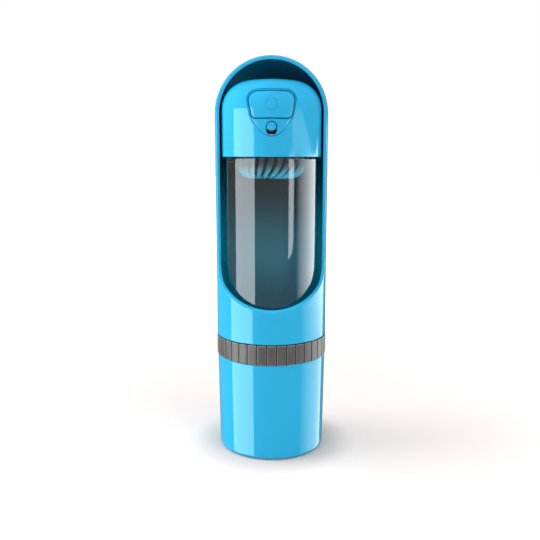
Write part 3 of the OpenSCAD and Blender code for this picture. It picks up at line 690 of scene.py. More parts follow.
def shield_paths(c, grow, hole_grow, cut_z=201.8, cuts=26, ups=96, lows=64):
    """Right halves of the shield's outline, moved out by grow, of the button's hole and of the slot's hole, moved out
    by hole_grow, point for point. The shield is cut across between the two holes, and each hole is met from its own
    middle: (path of the whole outline, (outer, inner) above the cut, (outer, inner) below it)."""
    shield, hole, slot = bezel_outline(c, grow), button_outline(c, hole_grow), slot_outline(c, hole_grow)
    above, below = np.array([0, c.button_z]), np.array([0, c.knob_z - c.travel / 2])
    side = shield[(shield[:, 0] > 0) & (np.abs(shield[:, 1] - cut_z) < 4)]
    side = side[np.argsort(side[:, 1])]
    cut = points(np.linspace(0, np.interp(cut_z, side[:, 1], side[:, 0]), cuts), cut_z)
    cut_up, cut_low = bearing(cut, above), bearing(cut, below)
    cut_up[0], cut_low[0] = -QUARTER, QUARTER
    seen = np.sort(bearing(hole, above))
    rise = fanned(seen[(seen > cut_up[-1]) & (seen < QUARTER)], ups, cut_up[-1])
    fall = np.linspace(-QUARTER, cut_low[-1], lows)
    upper, lower = rays(shield, above, rise), rays(shield, below, fall)
    upper[0] = lower[-1] = cut[-1]
    over = (np.concatenate([cut, upper[1:]]), rays(hole, above, np.r_[cut_up, rise[1:]]))
    under = (np.concatenate([lower, cut[::-1][1:]]), rays(slot, below, np.r_[fall, cut_low[::-1][1:]]))
    return np.concatenate([lower, upper[1:]]), over, under


def rows_between(a, b, rows=5):
    """A sheet of straight rows between two matching paths."""
    return blend(a, b, np.linspace(0, 1, rows)[:, None, None])


def rounding(reach, steps):
    """A rounded edge in even turns: pairs of how far in it still is and how deep it already lies."""
    return [(reach * (1 - np.sin(b)), reach * (1 - np.cos(b))) for b in np.linspace(0, QUARTER, steps)]


# ---------------------------------------------------------------- pieces

def sleeve_skin(s):
    """The sleeve's right half. A point of its side is (r cos f cos b, r sin f, z + r cos f sin b): f is the turn from
    the right-hand side, -90 degrees at the front; b is 0 up to the dome and then rises to 90 degrees at the middle.
    The window's rim is the sloping sill y -> z = sill + (y + inner r) tan(slope), then an arc, then upright, then
    over the dome, all at a fixed y, and every edge is rounded by a curve between points rim_round away from it."""
    low, high = span("sleeve")
    r_out, z0 = high[0], low[2]
    z_dome, r_in = high[2] - r_out, r_out - s.wall
    y_blend = -s.window_front - s.sill_blend * (1 - np.sin(s.sill_slope))
    z_sill, dome_steps = z0 + s.sill_up, 40
    z_rim = z_sill + (y_blend + r_in) * np.tan(s.sill_slope) + s.sill_blend * np.cos(s.sill_slope)

    def at(r, f, z, b=0.0):
        return points(r * np.cos(f) * np.cos(b), r * np.sin(f), z + r * np.cos(f) * np.sin(b))

    def rim(r):
        """The rim on one wall: its points, the points rim_round away from it, as turns, heights and dome angles too,
        and how many of them lie below the upright."""
        f1 = np.linspace(-QUARTER, np.arcsin(y_blend / r), 30)
        z1 = z_sill + (r * np.sin(f1) + r_in) * np.tan(s.sill_slope)
        arc = np.linspace(QUARTER - s.sill_slope, 0, 13)[1:]
        f2 = np.arcsin((-s.window_front - s.sill_blend * (1 - np.cos(arc))) / r)
        up, over = np.linspace(z_rim, z_dome, 14)[1:], np.linspace(0, QUARTER, dome_steps)[1:]
        f = np.concatenate([f1, f2, np.full(len(up) + len(over), f2[-1])])
        z = np.concatenate([z1, z_rim - s.sill_blend * np.sin(arc), up, np.full(len(over), z_dome)])
        b = np.concatenate([np.zeros(len(f1) + len(f2) + len(up)), over])
        away = unit(points(np.gradient(z), -np.gradient(f * r)))
        bends = len(f1) + len(f2)
        away[0] = 0, -1
        away[bends - 1:] = 1, 0
        turn, height = f + away[:, 0] * s.rim_round / r, z + away[:, 1] * s.rim_round
        return at(r, f, z, b), at(r, turn, height, b), turn[:bends], height[:bends], z, b, bends

    edge_o, back_o, front_o, top_o, z_edge, domes, bends = rim(r_out)
    edge_i, back_i, front_i, top_i = rim(r_in)[:4]
    across = unit(edge_i - edge_o) * s.rim_round
    for path in (back_o, back_i, edge_o, edge_i):
        path[[0, -1], 0] = 0
    t = np.linspace(0, 1, 6)[:, None, None]

    def bend(a, p, b):
        """A curve that leaves a towards p and arrives at b from p."""
        return (1 - t) ** 2 * a + 2 * t * (1 - t) * p + t ** 2 * b

    skin = Skin()
    skin.sheet(np.concatenate([bend(back_o, edge_o, edge_o + across), bend(edge_i - across, edge_i, back_i)]))
    foot = eased([[r_out, z0 + 6, 0], [r_out, z0 + 0.15, 0.4], [r_in, z0 + 0.15, 0.25], [r_in, s.lip_low, 0.15],
                  [s.lip_bore, s.lip_low, 0.25], [s.lip_bore, s.lip_high, 0.25], [r_in, s.lip_high, 0.3],
                  [r_in, s.lip_high + 2, 0]], 5, False)
    mid = np.clip((r_out - foot[:, :1]) / (r_out - r_in), 0, 1)
    k = np.linspace(0, 1, 26)[:, None]

    def band(turns_o, turns_i, top_o, top_i):
        """Columns from the top of the outer wall, down, round the foot and the lip, and up the inner wall."""
        return np.concatenate([polar(r_out, turns_o, top_o + (foot[0, 1] - top_o) * k)[:-1],
                               polar(foot[:, :1], blend(turns_o, turns_i, mid), foot[:, 1:]),
                               polar(r_in, turns_i, foot[-1, 1] + (top_i - foot[-1, 1]) * k)[1:]])

    grid = band(front_o, front_i, top_o, top_i)
    grid[:, 0, 0] = 0
    skin.sheet(grid)
    t = np.linspace(0, 1, 56)
    side_o, side_i = [front[-1] + (QUARTER - front[-1]) * t for front in (front_o, front_i)]
    up, over = z_edge[bends - 1:1 - dome_steps][:, None], domes[-dome_steps:][:, None]
    grid = np.concatenate([at(r_out, side_o, z_dome, over)[::-1], polar(r_out, side_o, up)[::-1][1:-1],
                           band(side_o, side_i, z_rim, z_rim), polar(r_in, side_i, up)[1:-1],
                           at(r_in, side_i, z_dome, over)])
    grid[:, -1, 0] = grid[0, :, 0] = grid[-1, :, 0] = 0
    return skin.sheet(grid)


def head_skin(form, c, h):
    """The head cover's right half: bands round the drum, a field at the front whose rows run from a straight frame
    to the shield, the recess under the bezel with its two holes, the shoulder, and the crown with the spout's hole,
    all of it once outside and once a wall's thickness inside. Its turns t run from the front: x = r sin t,
    y = -r cos t."""
    skin, recess, round_edge = Skin(), c.bezel_t + 0.3, 0.22
    z_low, z_high, z_mid, width = form.low + 4.1, form.top - 5.6, 204.0, h.patch_turn * form.r
    outline, over, under = shield_paths(c, 0, c.gap)
    edge = shield_paths(c, round_edge, c.gap)[0]

    def turn_of(path, inset):
        """Turns of points that are seen from the front."""
        return np.arcsin(np.clip(path[:, 0] / form.reach(path[:, 1], inset), 0, 1))

    def swept(r, turn, z, behind=0):
        return points(r * np.sin(turn), behind - r * np.cos(turn), z)

    seen = points(turn_of(edge, 0) * form.r, edge[:, 1] - z_mid)
    grow = np.minimum(width / np.maximum(seen[:, 0], 1e-9),
                      np.where(seen[:, 1] > 0, z_high - z_mid, z_mid - z_low) / np.maximum(np.abs(seen[:, 1]), 1e-9))
    box = seen * grow[:, None]
    corners = np.array([[width, z_low - z_mid], [width, z_high - z_mid]])
    first, last = [int(np.argmin(np.linalg.norm(box - corner, axis=1))) for corner in corners]
    box_turn, box_z = box[:, 0] / form.r, box[:, 1] + z_mid
    box_z[:first + 1], box_z[last:] = z_low, z_high
    box_turn[first:last + 1] = h.patch_turn
    box_turn[[0, -1]] = 0
    outside = np.linspace(h.patch_turn, np.pi, 56)[1:]
    low_turns, high_turns = np.r_[box_turn[:first + 1], outside], np.r_[box_turn[last:][::-1], outside]

    def laid(inset, path):
        """The field from its straight frame to a path, in turn and height."""
        k = np.linspace(0, 1, 14)[:, None]
        z = blend(box_z, path[:, 1], k)
        return swept(form.reach(z, inset), blend(box_turn, turn_of(path, inset), k), z)

    foot = eased([[form.r, z_low, 0], [form.r, form.low + 0.25, 0.4], [form.r - h.wall, form.low + 0.25, 0.3],
                  [form.r - h.wall, z_low, 0]], 5, False)
    skin.sheet(swept(foot[:, :1], low_turns, foot[:, 1:]))
    rise = np.linspace(0, 1, 16)[:, None]
    for inset in (0, h.wall):
        z = box_z[first:last + 1][:, None]
        skin.sheet(swept(form.reach(z, inset), np.r_[h.patch_turn, outside], z))
        skin.sheet(laid(inset, edge if inset == 0 else outline))
        s = form.shoulder - inset
        start = np.arcsin((z_high - form.ring) / s)
        lift = start + (QUARTER - start) * rise
        skin.sheet(swept(form.flat + s * np.cos(lift), high_turns, form.ring + s * np.sin(lift)))
        r = form.flat + (h.spout_bore - form.flat) * rise
        skin.sheet(form.over(r * np.sin(high_turns), h.spout_y * rise - r * np.cos(high_turns), inset))
    hole = [h.spout_bore * np.sin(high_turns), h.spout_y - h.spout_bore * np.cos(high_turns)]
    skin.sheet(rows_between(form.over(*hole, 0), form.over(*hole, h.wall), 3))
    rim = [form.front(shield_paths(c, out, c.gap)[0], deep) for out, deep in rounding(round_edge, 5)]
    skin.sheet(np.stack(rim + [form.front(outline, recess)]))
    for outer, inner in (over, under):
        for inset in (recess, h.wall):
            skin.sheet(form.front(rows_between(outer, inner), inset))
        skin.sheet(np.stack([form.front(inner, recess), form.front(inner, h.wall)]))
    for sheet in skin.points:
        sheet[np.abs(sheet[:, 0]) < 1e-6, 0] = 0
    return skin


def bezel_skin(form, c):
    """The bezel's right half: the shield with the button's and the lock's holes, lying 0.2 under the head's skin, a
    thickness deep, with its upper edges rounded."""
    skin, top = Skin(), 0.2
    levels = [(shield_paths(c, -0.25 - out, c.gap + out), top + deep) for out, deep in rounding(0.16, 4)]
    levels.append((levels[-1][0], c.bezel_t + top))
    skin.sheet(np.stack([form.front(level[0], depth) for level, depth in levels]))
    for side in (1, 2):
        for level, depth in (levels[0], levels[-1]):
            skin.sheet(form.front(rows_between(*level[side]), depth))
        skin.sheet(np.stack([form.front(level[side][1], depth) for level, depth in levels]))
    return skin


def button_skin(form, c):
    """The button's right half: rings round its middle, through the engraved drop, whose line is a groove as deep as
    the square of a cosine, out to the outline, over a rounded edge, and back to the flange behind the cover; and the
    bar that runs back over the valve, cut at 45 degrees where it pushes the stem."""
    skin, round_edge, middle = Skin(), 0.38, np.array([0, c.button_z])
    seen = np.sort(bearing(button_outline(c, 0), middle))
    turns = fanned(seen[np.abs(seen) < QUARTER], 150, -QUARTER)
    tangent = np.arccos(c.drop_r / c.drop_tip)
    directions = polar(1, turns)

    def drop(g):
        """A drop moved out by g: a circle, and lines that touch it from the tip; the tip is eased."""
        off = np.sqrt((QUARTER - turns) ** 2 + 0.02)
        r = (c.drop_r + g) / np.cos(np.minimum(off - tangent, 0))
        return middle + r[:, None] * directions

    def outline(g):
        return rays(button_outline(c, g), middle, turns)

    face = outline(-round_edge)
    rings = [(blend(middle, drop(-0.5), k), -c.proud) for k in (0.0, 0.35, 0.7, 0.9)]
    rings += [(drop(g), -c.proud + c.drop_deep * np.cos(np.pi * g) ** 2) for g in np.linspace(-0.5, 0.5, 11)]
    rings += [(blend(drop(0.5), face, k), -c.proud) for k in (0.12, 0.3, 0.5, 0.7, 0.88, 0.96)]
    rings += [(outline(-out), -c.proud + deep) for out, deep in rounding(round_edge, 7)]
    side, flange, flange_top, flange_back = outline(0), outline(1.1), 2.3, 3.7
    rings += [(side, 0.4), (side, flange_top), (flange, flange_top), (flange, flange_back)]
    rings += [(blend(middle, flange, k), flange_back) for k in (0.5, 0.0)]
    for path, _ in rings:
        path[[0, -1], 0] = 0
    skin.sheet(np.stack([form.front(path, inset) for path, inset in rings]))
    z, front, ramp, tall = span("valve_stem")[1][2] - 4.8, -27.6, 2.6, 6
    profile = spaced(eased([[front, z, 0.3], [-ramp, z, 0.3], [ramp, z + 2 * ramp, 0.2], [ramp, z + tall, 0.2],
                            [front, z + tall, 0.3]], 4), 90)[:-1]
    centre, half_w = profile.mean(0), 3.0
    x, tight = np.array([0, 2.7, 2.92, half_w]), np.array([1, 1, 0.995, 0.96])[:, None, None]
    shrunk = centre + (profile - centre) * tight
    bar = np.concatenate([points(x[:, None], shrunk[..., 0], shrunk[..., 1]),
                          np.broadcast_to([half_w, *centre], (1, len(profile), 3))])
    return skin.sheet(bar, around=True)


class Maker:
    """What every maker of pieces shares."""
    bl_options = {"REGISTER", "UNDO"}


class BOTTLE_OT_finishes(Maker, bpy.types.Operator):
    """Make the finishes, and put them on the solids that stay as they are"""
    bl_idname = "bottle.finishes"
    bl_label = "Finishes and inner parts"

    def execute(self, context):
        tints, r = context.scene.bottle_finishes, span("sleeve")[1][0] * MM
        gloss_plastic("blue_plastic_gloss", tints)
        gloss_plastic("blue_plastic_hollow", tints,
                      (r - context.scene.bottle_sleeve.wall, span("sleeve")[1][2] * MM - r))
        rib_plastic(tints)
        grip_plastic(tints.grey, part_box("collar")[1][0])
        clear_plastic(tints)
        satin_plastic(tints.white)
        silicone("grey_silicone_seal", tints.seal, 0.0)
        silicone("clear_silicone_seal", tints.gasket, 0.3)
        wire_steel(tints.steel)
        needle_felt(tints.felt, tints.carbon)
        for finish, nodes in (("white_plastic_satin", ("cap_base", "valve_stem", "gland_washer")),
                              ("grey_silicone_seal", ("sleeve_seal", "plug_seal", "stem_oring")),
                              ("clear_silicone_seal", ("cup_seal", "neck_seal")),
                              ("steel_drawn", ("collar_clip",)), ("filter_felt_fibre", ("filter_cartridge",))):
            for node in nodes:
                dress(node, finish)
        return {"FINISHED"}


class BOTTLE_OT_cup(Maker, bpy.types.Operator):
    """Make the food cup: a turned wall with a rounded foot, a hollow under its floor and threads inside its mouth"""
    bl_idname = "bottle.cup"
    bl_label = "Food cup"

    def execute(self, context):
        s, (r, _, top) = measures("cup"), span("food_cup")[1]
        base, mouth, floor = r - s.taper, r - s.wall, s.floor + s.hollow
        hollow_r = base - s.edge - 4
        skin = Skin().lathe([
            [0, floor, 0], [base - s.wall - 0.4, floor, 3], [mouth, top - 12, 6], [mouth, top, 0.45], [r, top, 0.35],
            [base, 0, s.edge], [hollow_r, 0, 0.4], [hollow_r, s.hollow, 0.4], [0, s.hollow, 0]], 8, False, 192)
        skin.threads(mouth, -1, s.thread_z, s.thread_lead, 1.2)
        skin.piece("food_cup_shell", "food_cup", "blue_plastic_gloss", "food_cup")
        return {"FINISHED"}


class BOTTLE_OT_collar(Maker, bpy.types.Operator):
    """Make the collar: a turned ring with a threaded skirt, whose outside dips into a groove between its grips"""
    bl_idname = "bottle.collar"
    bl_label = "Knurled collar"

    def execute(self, context):
        s, (r, _, top) = measures("cup"), span("collar")[1]
        z0, skirt, skirt_r, bore, boss_r, clip_r = top - 12, s.skirt_z, 30.4, 29, 30, 30.9
        seal_in, seal_out, seal_z, clip_low, clip_high = 31, 33.2, z0 + 0.8, z0 + 2, top - 2.5
        profile = eased([[bore, skirt, 0.2], [bore, z0 + 1, 0.1], [boss_r, z0 + 1, 0.1], [boss_r, clip_low, 0.1],
                         [clip_r, clip_low, 0.1], [clip_r, clip_high, 0.1], [boss_r, clip_high, 0.1],
                         [boss_r, top, 0.3], [r, top, 0.55], [r, z0, 0.55], [seal_out, z0, 0.1],
                         [seal_out, seal_z, 0.1], [seal_in, seal_z, 0.1], [seal_in, z0, 0.1], [skirt_r, z0, 0.2],
                         [skirt_r, skirt, 0.2]], 4)
        w, d, pitch = s.groove_w / 2, s.groove_d, 2 * np.pi * r / s.grooves
        near = np.array([w + 0.28, w + 0.18, w + 0.02, w - 0.1, w - 0.16])
        dip = np.array([0, 0.06, 0.4, 0.9, 1])
        flat = np.linspace(w + 0.6, pitch - w - 0.6, 5)
        at = np.r_[-near, 0, near[::-1], flat]
        a = (np.arange(s.grooves)[:, None] + 0.5 + at / pitch).ravel() * 2 * np.pi / s.grooves
        cut = np.tile(np.r_[dip, 1, dip[::-1], 0 * flat], s.grooves) * d
        radius = profile[:, :1] - cut * np.clip((profile[:, :1] - (r - d - 0.2)) / d, 0, 1)
        skin = Skin().sheet(polar(radius, a, profile[:, 1:]), around=True)
        skin.threads(skirt_r, 1, s.thread_z - 0.97, s.thread_lead, 1.2)
        skin.piece("collar_grip", "collar", "collar_grey_grip", "collar")
        return {"FINISHED"}


class BOTTLE_OT_base(Maker, bpy.types.Operator):
    """Make the bottle's base: a turned plug with a flange under the bottle and a grooved boss in the collar"""
    bl_idname = "bottle.base"
    bl_label = "Bottle base"

    def execute(self, context):
        (_, _, z0), (flange, _, top) = span("bottle_base")
        clip = span("collar_clip")
        z1, z2, under, over, floor = clip[0][2] - 0.1, clip[1][2] + 0.1, top - 7, top - 4.7, z0 + 2
        boss, groove, plug, inner = 29.7, 28.5, 27.7, 25.7
        skin = Skin().lathe([
            [0, z0, 0], [boss, z0, 0.3], [boss, z1, 0.1], [groove, z1, 0.1], [groove, z2, 0.1], [boss, z2, 0.1],
            [boss, under, 0.2], [flange, under, 0.3], [flange, over, 0.4], [plug, over, 0.2], [plug, top, 0.4],
            [inner, top, 0.4], [inner, floor, 0.6], [0, floor, 0]], 4, False)
        skin.piece("bottle_base_plug", "bottle", "blue_plastic_gloss", "bottle_base")
        return {"FINISHED"}


class BOTTLE_OT_bottle(Maker, bpy.types.Operator):
    """Make the clear bottle: a turned wall with a stepped neck, threads round the neck and two lugs at the back"""
    bl_idname = "bottle.bottle"
    bl_label = "Clear bottle"

    def execute(self, context):
        s, ((_, _, z0), (r, _, top)) = measures("bottle"), span("water_bottle")
        inner, neck, shoulder = r - s.wall, s.neck_r, s.shoulder_z
        skin = Skin().lathe([
            [0, s.foot_top, 0], [inner, s.foot_top, 0.4], [inner, z0, 0.2], [r, z0, 0.4], [r, shoulder, 0.5],
            [neck, shoulder, 0.5], [neck, top, 0.5], [neck - s.wall, top, 0.5],
            [neck - s.wall, shoulder - s.wall, 0.5], [inner, shoulder - s.wall, 1.5], [inner, s.floor_top, 2.2],
            [0, s.floor_top, 0]], 7, False, 192)
        skin.threads(neck, 1, s.thread_z, s.thread_lead, 0.8)
        half_w, tall = 4, 2.4
        loop = block([[-half_w, 0, 0.6], [half_w, 0, 0.6], [half_w, tall, 0.6], [-half_w, tall, 0.6]], 60)
        reach, tight = np.array([[29.56], [31.3], [31.6], [31.8]]), np.array([[1], [1], [0.97], [0.88]])
        across, up = loop[:, 0] * tight, tall / 2 + (loop[:, 1] - tall / 2) * tight
        out = np.sqrt(reach ** 2 - across ** 2)
        for a in np.radians([50, 130]):
            skin.tube(points(out * np.cos(a) - across * np.sin(a), out * np.sin(a) + across * np.cos(a),
                             s.lug_z + up))
        skin.piece("clear_bottle_wall", "bottle", "clear_plastic_wall", "water_bottle")
        return {"FINISHED"}


class BOTTLE_OT_sleeve(Maker, bpy.types.Operator):
    """Make the sliding sleeve, whose open hood is the drinking trough"""
    bl_idname = "bottle.sleeve"
    bl_label = "Sleeve"

    def execute(self, context):
        sleeve_skin(measures("sleeve")).piece("sleeve_shell", "sleeve", "blue_plastic_hollow", "sleeve", mirrored=True)
        return {"FINISHED"}


class BOTTLE_OT_head(Maker, bpy.types.Operator):
    """Make the pouring head's cover, the bezel in its front and the spout in its top"""
    bl_idname = "bottle.head"
    bl_label = "Head, bezel and spout"

    def execute(self, context):
        h, c, blue = measures("head"), measures("controls"), "blue_plastic_gloss"
        form = HeadForm(h)
        head_skin(form, c, h).piece("head_cover_shell", "head", blue, "head_cover", mirrored=True)
        bezel_skin(form, c).piece("bezel_plate", "head", blue, "control_bezel", mirrored=True)
        low, high = span("outlet_spout")
        bore, r, flange, seat = 1.9, 3.2, (high[0] - low[0]) / 2, high[2] - 1.55
        skin = Skin().lathe([
            [bore, low[2], 0.2], [r, low[2], 0.2], [r, seat, 0.05], [flange, seat, 0.1], [flange, seat + 0.8, 0.35],
            [bore + 0.9, high[2], 0.5], [bore, high[2], 0.35]], 5, columns=96, y=h.spout_y)
        skin.piece("outlet_spout_lip", "head", "grey_silicone_seal", "outlet_spout")
        return {"FINISHED"}


class BOTTLE_OT_controls(Maker, bpy.types.Operator):
    """Make the pour button, with its engraved drop, and the lock's knob with the plate behind it"""
    bl_idname = "bottle.controls"
    bl_label = "Button and lock"

    def execute(self, context):
        c, blue = measures("controls"), "blue_plastic_gloss"
        button_skin(HeadForm(measures("head")), c).piece("pour_button", "button", blue, "button", mirrored=True)
        low, high = span("lock_slider", 3)
        front, back, neck_r, cover = low[1], high[1], 1.7, -28.8
        knob = eased([[0, front, 0], [c.knob_r, front, 0.5], [c.knob_r, cover, 0.15], [neck_r, cover, 0.1],
                      [neck_r, back, 0.1], [0, back, 0]], 6, False)
        r, y, a = knob[:, :1], knob[:, 1:], circle(72)
        skin = Skin().sheet(points(r * np.sin(a), y, c.knob_z + r * np.cos(a)), around=True)
        foot = c.knob_z - neck_r
        loop = block([[low[0], foot, 0.4], [high[0], foot, 0.4], [high[0], high[2], 0.4], [low[0], high[2], 0.4]],
                     80)
        plate = loop.mean(0) + (loop - loop.mean(0)) * np.array([0.95, 1, 1, 0.95])[:, None, None]
        skin.tube(points(plate[..., 0], back - 1.2 + np.array([[0], [0.2], [1], [1.2]]), plate[..., 1]))
        skin.piece("lock_knob", "lock_slider", blue, "lock_slider")
        return {"FINISHED"}


class BOTTLE_OT_spring(Maker, bpy.types.Operator):
    """Make the valve spring: a round wire carried up a helix, with its end turns closer"""
    bl_idname = "bottle.spring"
    bl_label = "Valve spring"

    def execute(self, context):
        s, (low, high) = measures("spring"), span("valve_spring", 3)
        wire, t, around = s.wire / 2, np.linspace(0, 1, 145)[:, None], circle(10)
        rise = (t - 0.6 * np.sin(2 * np.pi * t) / (2 * np.pi)) * (high[2] - low[2] - s.wire)
        skin = Skin().tube(polar(high[0] - wire + wire * np.cos(around), 2 * np.pi * s.turns * t,
                                 low[2] + wire + rise + wire * np.sin(around)))
        made = skin.piece("valve_spring_coil", "head", "steel_drawn", "valve_spring")
        travel = next(joint["range_m"][1] for joint in frame["joints"] if joint["name"] == "valve_travel")
        1 - travel / MM / s.room
        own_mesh(made)
        return {"FINISHED"}


class BOTTLE_OT_basket(Maker, bpy.types.Operator):
    """Make the filter basket: swept ribs that swirl down a bowl, from a threaded ring to a floor"""
    bl_idname = "bottle.basket"
    bl_label = "Filter basket"

    def execute(self, context):
        s, ((_, _, floor), (r, _, top)) = measures("basket"), span("filter_basket")
        bowl_z, depth = floor + s.drop, s.rib_depth
        ring_z, ring_in, floor_r, hole_r, wall, plate = bowl_z - 0.8, r - depth - 0.2, r - s.narrows - 1, 2.2, 1.2, 1.4

        def bowl(k):
            """The bowl's line: radius r - 0.1 - narrows k^2.2, height (drop + low) sin(90 k) below its ring."""
            return points(r - 0.1 - s.narrows * k ** 2.2, bowl_z - (s.drop + s.low) * np.sin(QUARTER * k))

        k = np.linspace(0.011, 1.07, 24)
        line, along = bowl(k), unit(bowl(k + 0.01) - bowl(k - 0.01))
        inward = points(along[:, 1], -along[:, 0])
        across, deep = spaced(eased([[-1, 0, 0.42], [1, 0, 0.42], [1, 1, 0.3], [-1, 1, 0.3]], 5), 25)[:-1].T
        arched = deep * depth + s.arch * across ** 2 * (1 - deep)
        x, z = np.moveaxis(line[:, None] + inward[:, None] * arched[:, None], -1, 0)
        y = (np.pi * line[:, :1] / s.ribs - s.slot / 2) * across
        skin = Skin()
        for start in circle(s.ribs):
            a = (start - s.swirl * k ** 1.5)[:, None]
            skin.tube(points(x * np.cos(a) - y * np.sin(a), x * np.sin(a) + y * np.cos(a), z))
        skin.lathe([[ring_in, ring_z, 0.3], [r, ring_z, 0.4], [r, top, 0.3], [r - wall, top, 0.3],
                    [r - wall, ring_z + wall, 0.3], [ring_in, ring_z + wall, 0.3]], 4, columns=144)
        skin.lathe([[hole_r, floor, 0.3], [floor_r, floor, 0.4], [floor_r, floor + plate, 0.4],
                    [hole_r, floor + plate, 0.3]], 4, columns=96)
        skin.piece("filter_basket_ribs", "head", "blue_plastic_ribs", "filter_basket")
        return {"FINISHED"}


# ---------------------------------------------------------------- the stage

def placed(name, data, **settings):
    """A new object in the scene, with its settings."""
    made = bpy.data.objects.new(name, data)
    for key, value in settings.items():
        setattr(made, key, value)
    bpy.context.scene.collection.objects.link(made)
    return made


def card(name, heights, left, right, level, fade=((1, 1),), away=1.2, columns=33):
    """A soft box that only gloss sees: a patch of a drum 1.2 m round the bottle. At each of its heights it reaches
    from a left to a right bearing, in degrees to the right of the front; a row of fade gives the share of its light
    at even steps from left to right, at each height or at all of them."""
    t, tall = np.linspace(0, 1, columns), len(heights)
    a = np.radians(blend(np.array(left)[:, None], np.array(right)[:, None], t))
    grid = points(away * np.sin(a), -away * np.cos(a), np.array(heights)[:, None])
    corner = (np.arange(tall - 1)[:, None] * columns + np.arange(columns - 1)).ravel()
    mesh = bpy.data.meshes.new(name)
    mesh.from_pydata(grid.reshape(-1, 3), [], points(corner, corner + 1, corner + columns + 1,
                                                     corner + columns).tolist())
    tint = np.ones((tall, columns, 4))
    light = np.array([np.interp(t, np.linspace(0, 1, len(row)), row) for row in fade])
    cool = [1, 1.09, 1.12]
    tint[..., :3] = light[..., None] * cool
    mesh.color_attributes.new("glow", "FLOAT_COLOR", "POINT").data.foreach_set("color", tint.ravel())
    paint = new_finish(name)
    glow = paint.add("VertexColor", {"layer_name": "glow"})
    paint.add("OutputMaterial", None, {"Surface": paint.add("Emission", None, {"Color": glow, "Strength": level})})
    mesh.materials.append(bpy.data.materials[name])
    placed(name, mesh, visible_camera=False, visible_diffuse=False, visible_shadow=False,
                    visible_transmission=False)


def lamp(name, turn, rise, back, size, watts, aim_z=0.12):
    """A square soft lamp that shines at the bottle's middle, from a bearing to the right of the front and a rise in
    degrees, at a distance."""
    data = bpy.data.lights.new(name, "AREA")
    data.shape, data.size, data.energy = "SQUARE", size, watts
    turn, rise = np.radians(turn), np.radians(rise)
    placed(name, data, rotation_euler=(QUARTER - rise, 0, turn),
           location=(back * np.sin(turn) * np.cos(rise), -back * np.cos(turn) * np.cos(rise),
                     aim_z + back * np.sin(rise)),
           visible_glossy=False, visible_camera=False, visible_transmission=False)


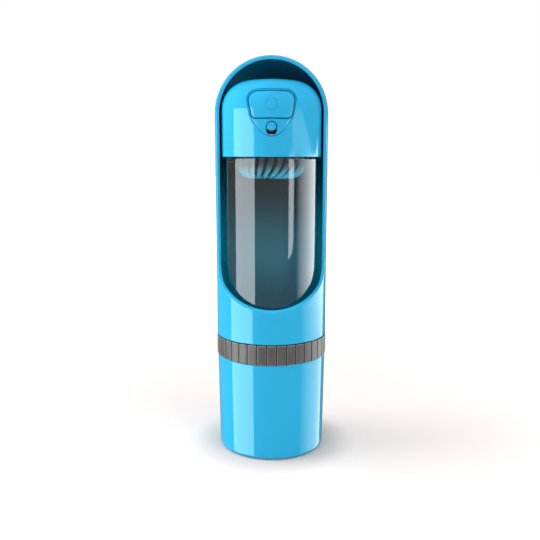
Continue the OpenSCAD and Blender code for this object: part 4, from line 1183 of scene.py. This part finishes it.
class BOTTLE_OT_stage(Maker, bpy.types.Operator):
    """Make the camera, the ground, the white surroundings, the lamps and the soft boxes"""
    bl_idname = "bottle.stage"
    bl_label = "Studio"

    def execute(self, context):
        scene, s = context.scene, context.scene.bottle_studio
        eye = bpy.data.cameras.new("front_camera")
        eye.lens, eye.sensor_width, eye.clip_start = s.lens, 36, 0.01
        scene.camera = placed("front_camera", eye, location=(s.camera_x, -s.camera_back, s.camera_z),
                              rotation_euler=(QUARTER - s.camera_dip, 0, 0))
        scene.view_settings.view_transform = "Standard"
        mesh = bpy.data.meshes.new("pale_ground")
        mesh.from_pydata(np.array([[-1, -1, 0], [1, -1, 0], [1, 1, 0], [-1, 1, 0]]) * 6.0, [], [[0, 1, 2, 3]])
        paint, white = new_finish("pale_ground_paint"), (1, 1, 1, 1)
        # Painted contact shadow: near the cup's foot the ground loses its glow
        near = paint.size(paint.spot()).smooth(*CONTACT)
        # The glow fades towards a point 6 cm behind the bottle: the real shadow shows there, with painted shade round
        # it
        behind = paint.add("VectorMath", {"operation": "SUBTRACT"}, {0: paint.spot(), 1: (0, 0.06, 0)})
        away = paint.size(behind).smooth(*BACKDROP)
        lift = paint.add("LightPath", out="Is Camera Ray") * (away * (1 - s.ground) + near * s.ground)
        glow = paint.add("Emission", None, {"Color": white, "Strength": lift})
        matt = paint.add("BsdfDiffuse", None, {"Color": shade(s.floor)})
        lit = paint.add("AddShader", None, {0: matt, 1: glow})
        plain = paint.add("Emission", None, {"Color": white, "Strength": s.through})
        clear = paint.add("LightPath", out="Is Transmission Ray")
        paint.add("OutputMaterial", None, {"Surface": paint.add("MixShader", None, {0: clear, 1: lit, 2: plain})})
        mesh.materials.append(bpy.data.materials["pale_ground_paint"])
        placed("pale_ground", mesh, visible_glossy=False)
        scene.world = scene.world or bpy.data.worlds.new("studio")
        scene.world.use_nodes = True
        paint = Paint(scene.world.node_tree)
        clear = paint.add("LightPath", out="Is Transmission Ray")
        gloss = paint.add("LightPath", out="Is Glossy Ray") * (1 - clear)
        seen = paint.add("LightPath", out="Is Camera Ray").most(clear * s.through)
        level = (seen * (1 - s.ambient) + s.ambient) * (1 - gloss) + gloss * s.mirrored
        paint.add("OutputWorld", None, {"Surface": paint.add("Background", None, {"Color": white, "Strength": level})})
        lamp("key_lamp", -90, 12, 1.5, 1.2, s.key_lamp)
        lamp("fill_lamp", 45, 22, 1.5, 1.2, s.fill_lamp)
        lamp("top_lamp", 0, 80, 1.7, 1.8, s.top_lamp)
        card("left_soft_box", [-0.95, 0.3], [-92, -92], [-39, -39], s.strip)
        foot, top = [0, 0.33, 0.6, 0.68, 0.8, 1.0], [0, 0.48, 0.85, 1.2, 1.35, 0.9]
        card("right_soft_box", [-0.95, -0.26, -0.12, 0.19], [60, 60, 57, 57], [136, 136, 141, 141], s.wash,
             [foot, foot, top, top])
        card("right_high_box", [0.19, 0.285], [51, 43], [103, 68], s.wash * 0.35)
        card("right_edge_box", [0.19, 0.26], [118, 138], [147, 149], s.wash)
        card("right_thin_box", [-0.055, -0.043, -0.02, 0.19], [39, 39.5, 40, 40], [40, 47.5, 52, 53], s.strip)
        return {"FINISHED"}


GROUPS = {"sleeve": SleeveSizes, "head": HeadSizes, "controls": ControlSizes, "bottle": BottleSizes,
          "basket": BasketSizes, "spring": SpringSizes, "cup": CupSizes, "finishes": Finishes, "studio": Studio}
OPERATORS = (BOTTLE_OT_finishes, BOTTLE_OT_cup, BOTTLE_OT_collar, BOTTLE_OT_base, BOTTLE_OT_bottle, BOTTLE_OT_sleeve,
             BOTTLE_OT_head, BOTTLE_OT_controls, BOTTLE_OT_spring, BOTTLE_OT_basket, BOTTLE_OT_stage)


class BOTTLE_PT_panel(bpy.types.Panel):
    """Lists the sizes, colours and makers of the bottle"""
    bl_idname = "BOTTLE_PT_panel"
    bl_label = "Travel bottle"
    bl_space_type = "VIEW_3D"
    bl_region_type = "UI"
    bl_category = "Bottle"

    def draw(self, context):
        for name in GROUPS:
            group = getattr(context.scene, "bottle_" + name)
            box = self.layout.box()
            box.label(text=name.capitalize())
            for item in shown(group):
                box.prop(group, item.identifier)
        for operator in OPERATORS:
            self.layout.operator(operator.bl_idname)


CLASSES = (*GROUPS.values(), *OPERATORS, BOTTLE_PT_panel)


def register():
    for cls in CLASSES:
        bpy.utils.register_class(cls)
    for name, group in GROUPS.items():
        setattr(bpy.types.Scene, "bottle_" + name, bpy.props.PointerProperty(type=group))


def unregister():
    for name in GROUPS:
        delattr(bpy.types.Scene, "bottle_" + name)
    for cls in reversed(CLASSES):
        bpy.utils.unregister_class(cls)


def main():
    """Registers the add-on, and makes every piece."""
    register()
    for operator in OPERATORS:
        group, name = operator.bl_idname.split(".")
        getattr(getattr(bpy.ops, group), name)()


if __name__ == "__main__":
    main()
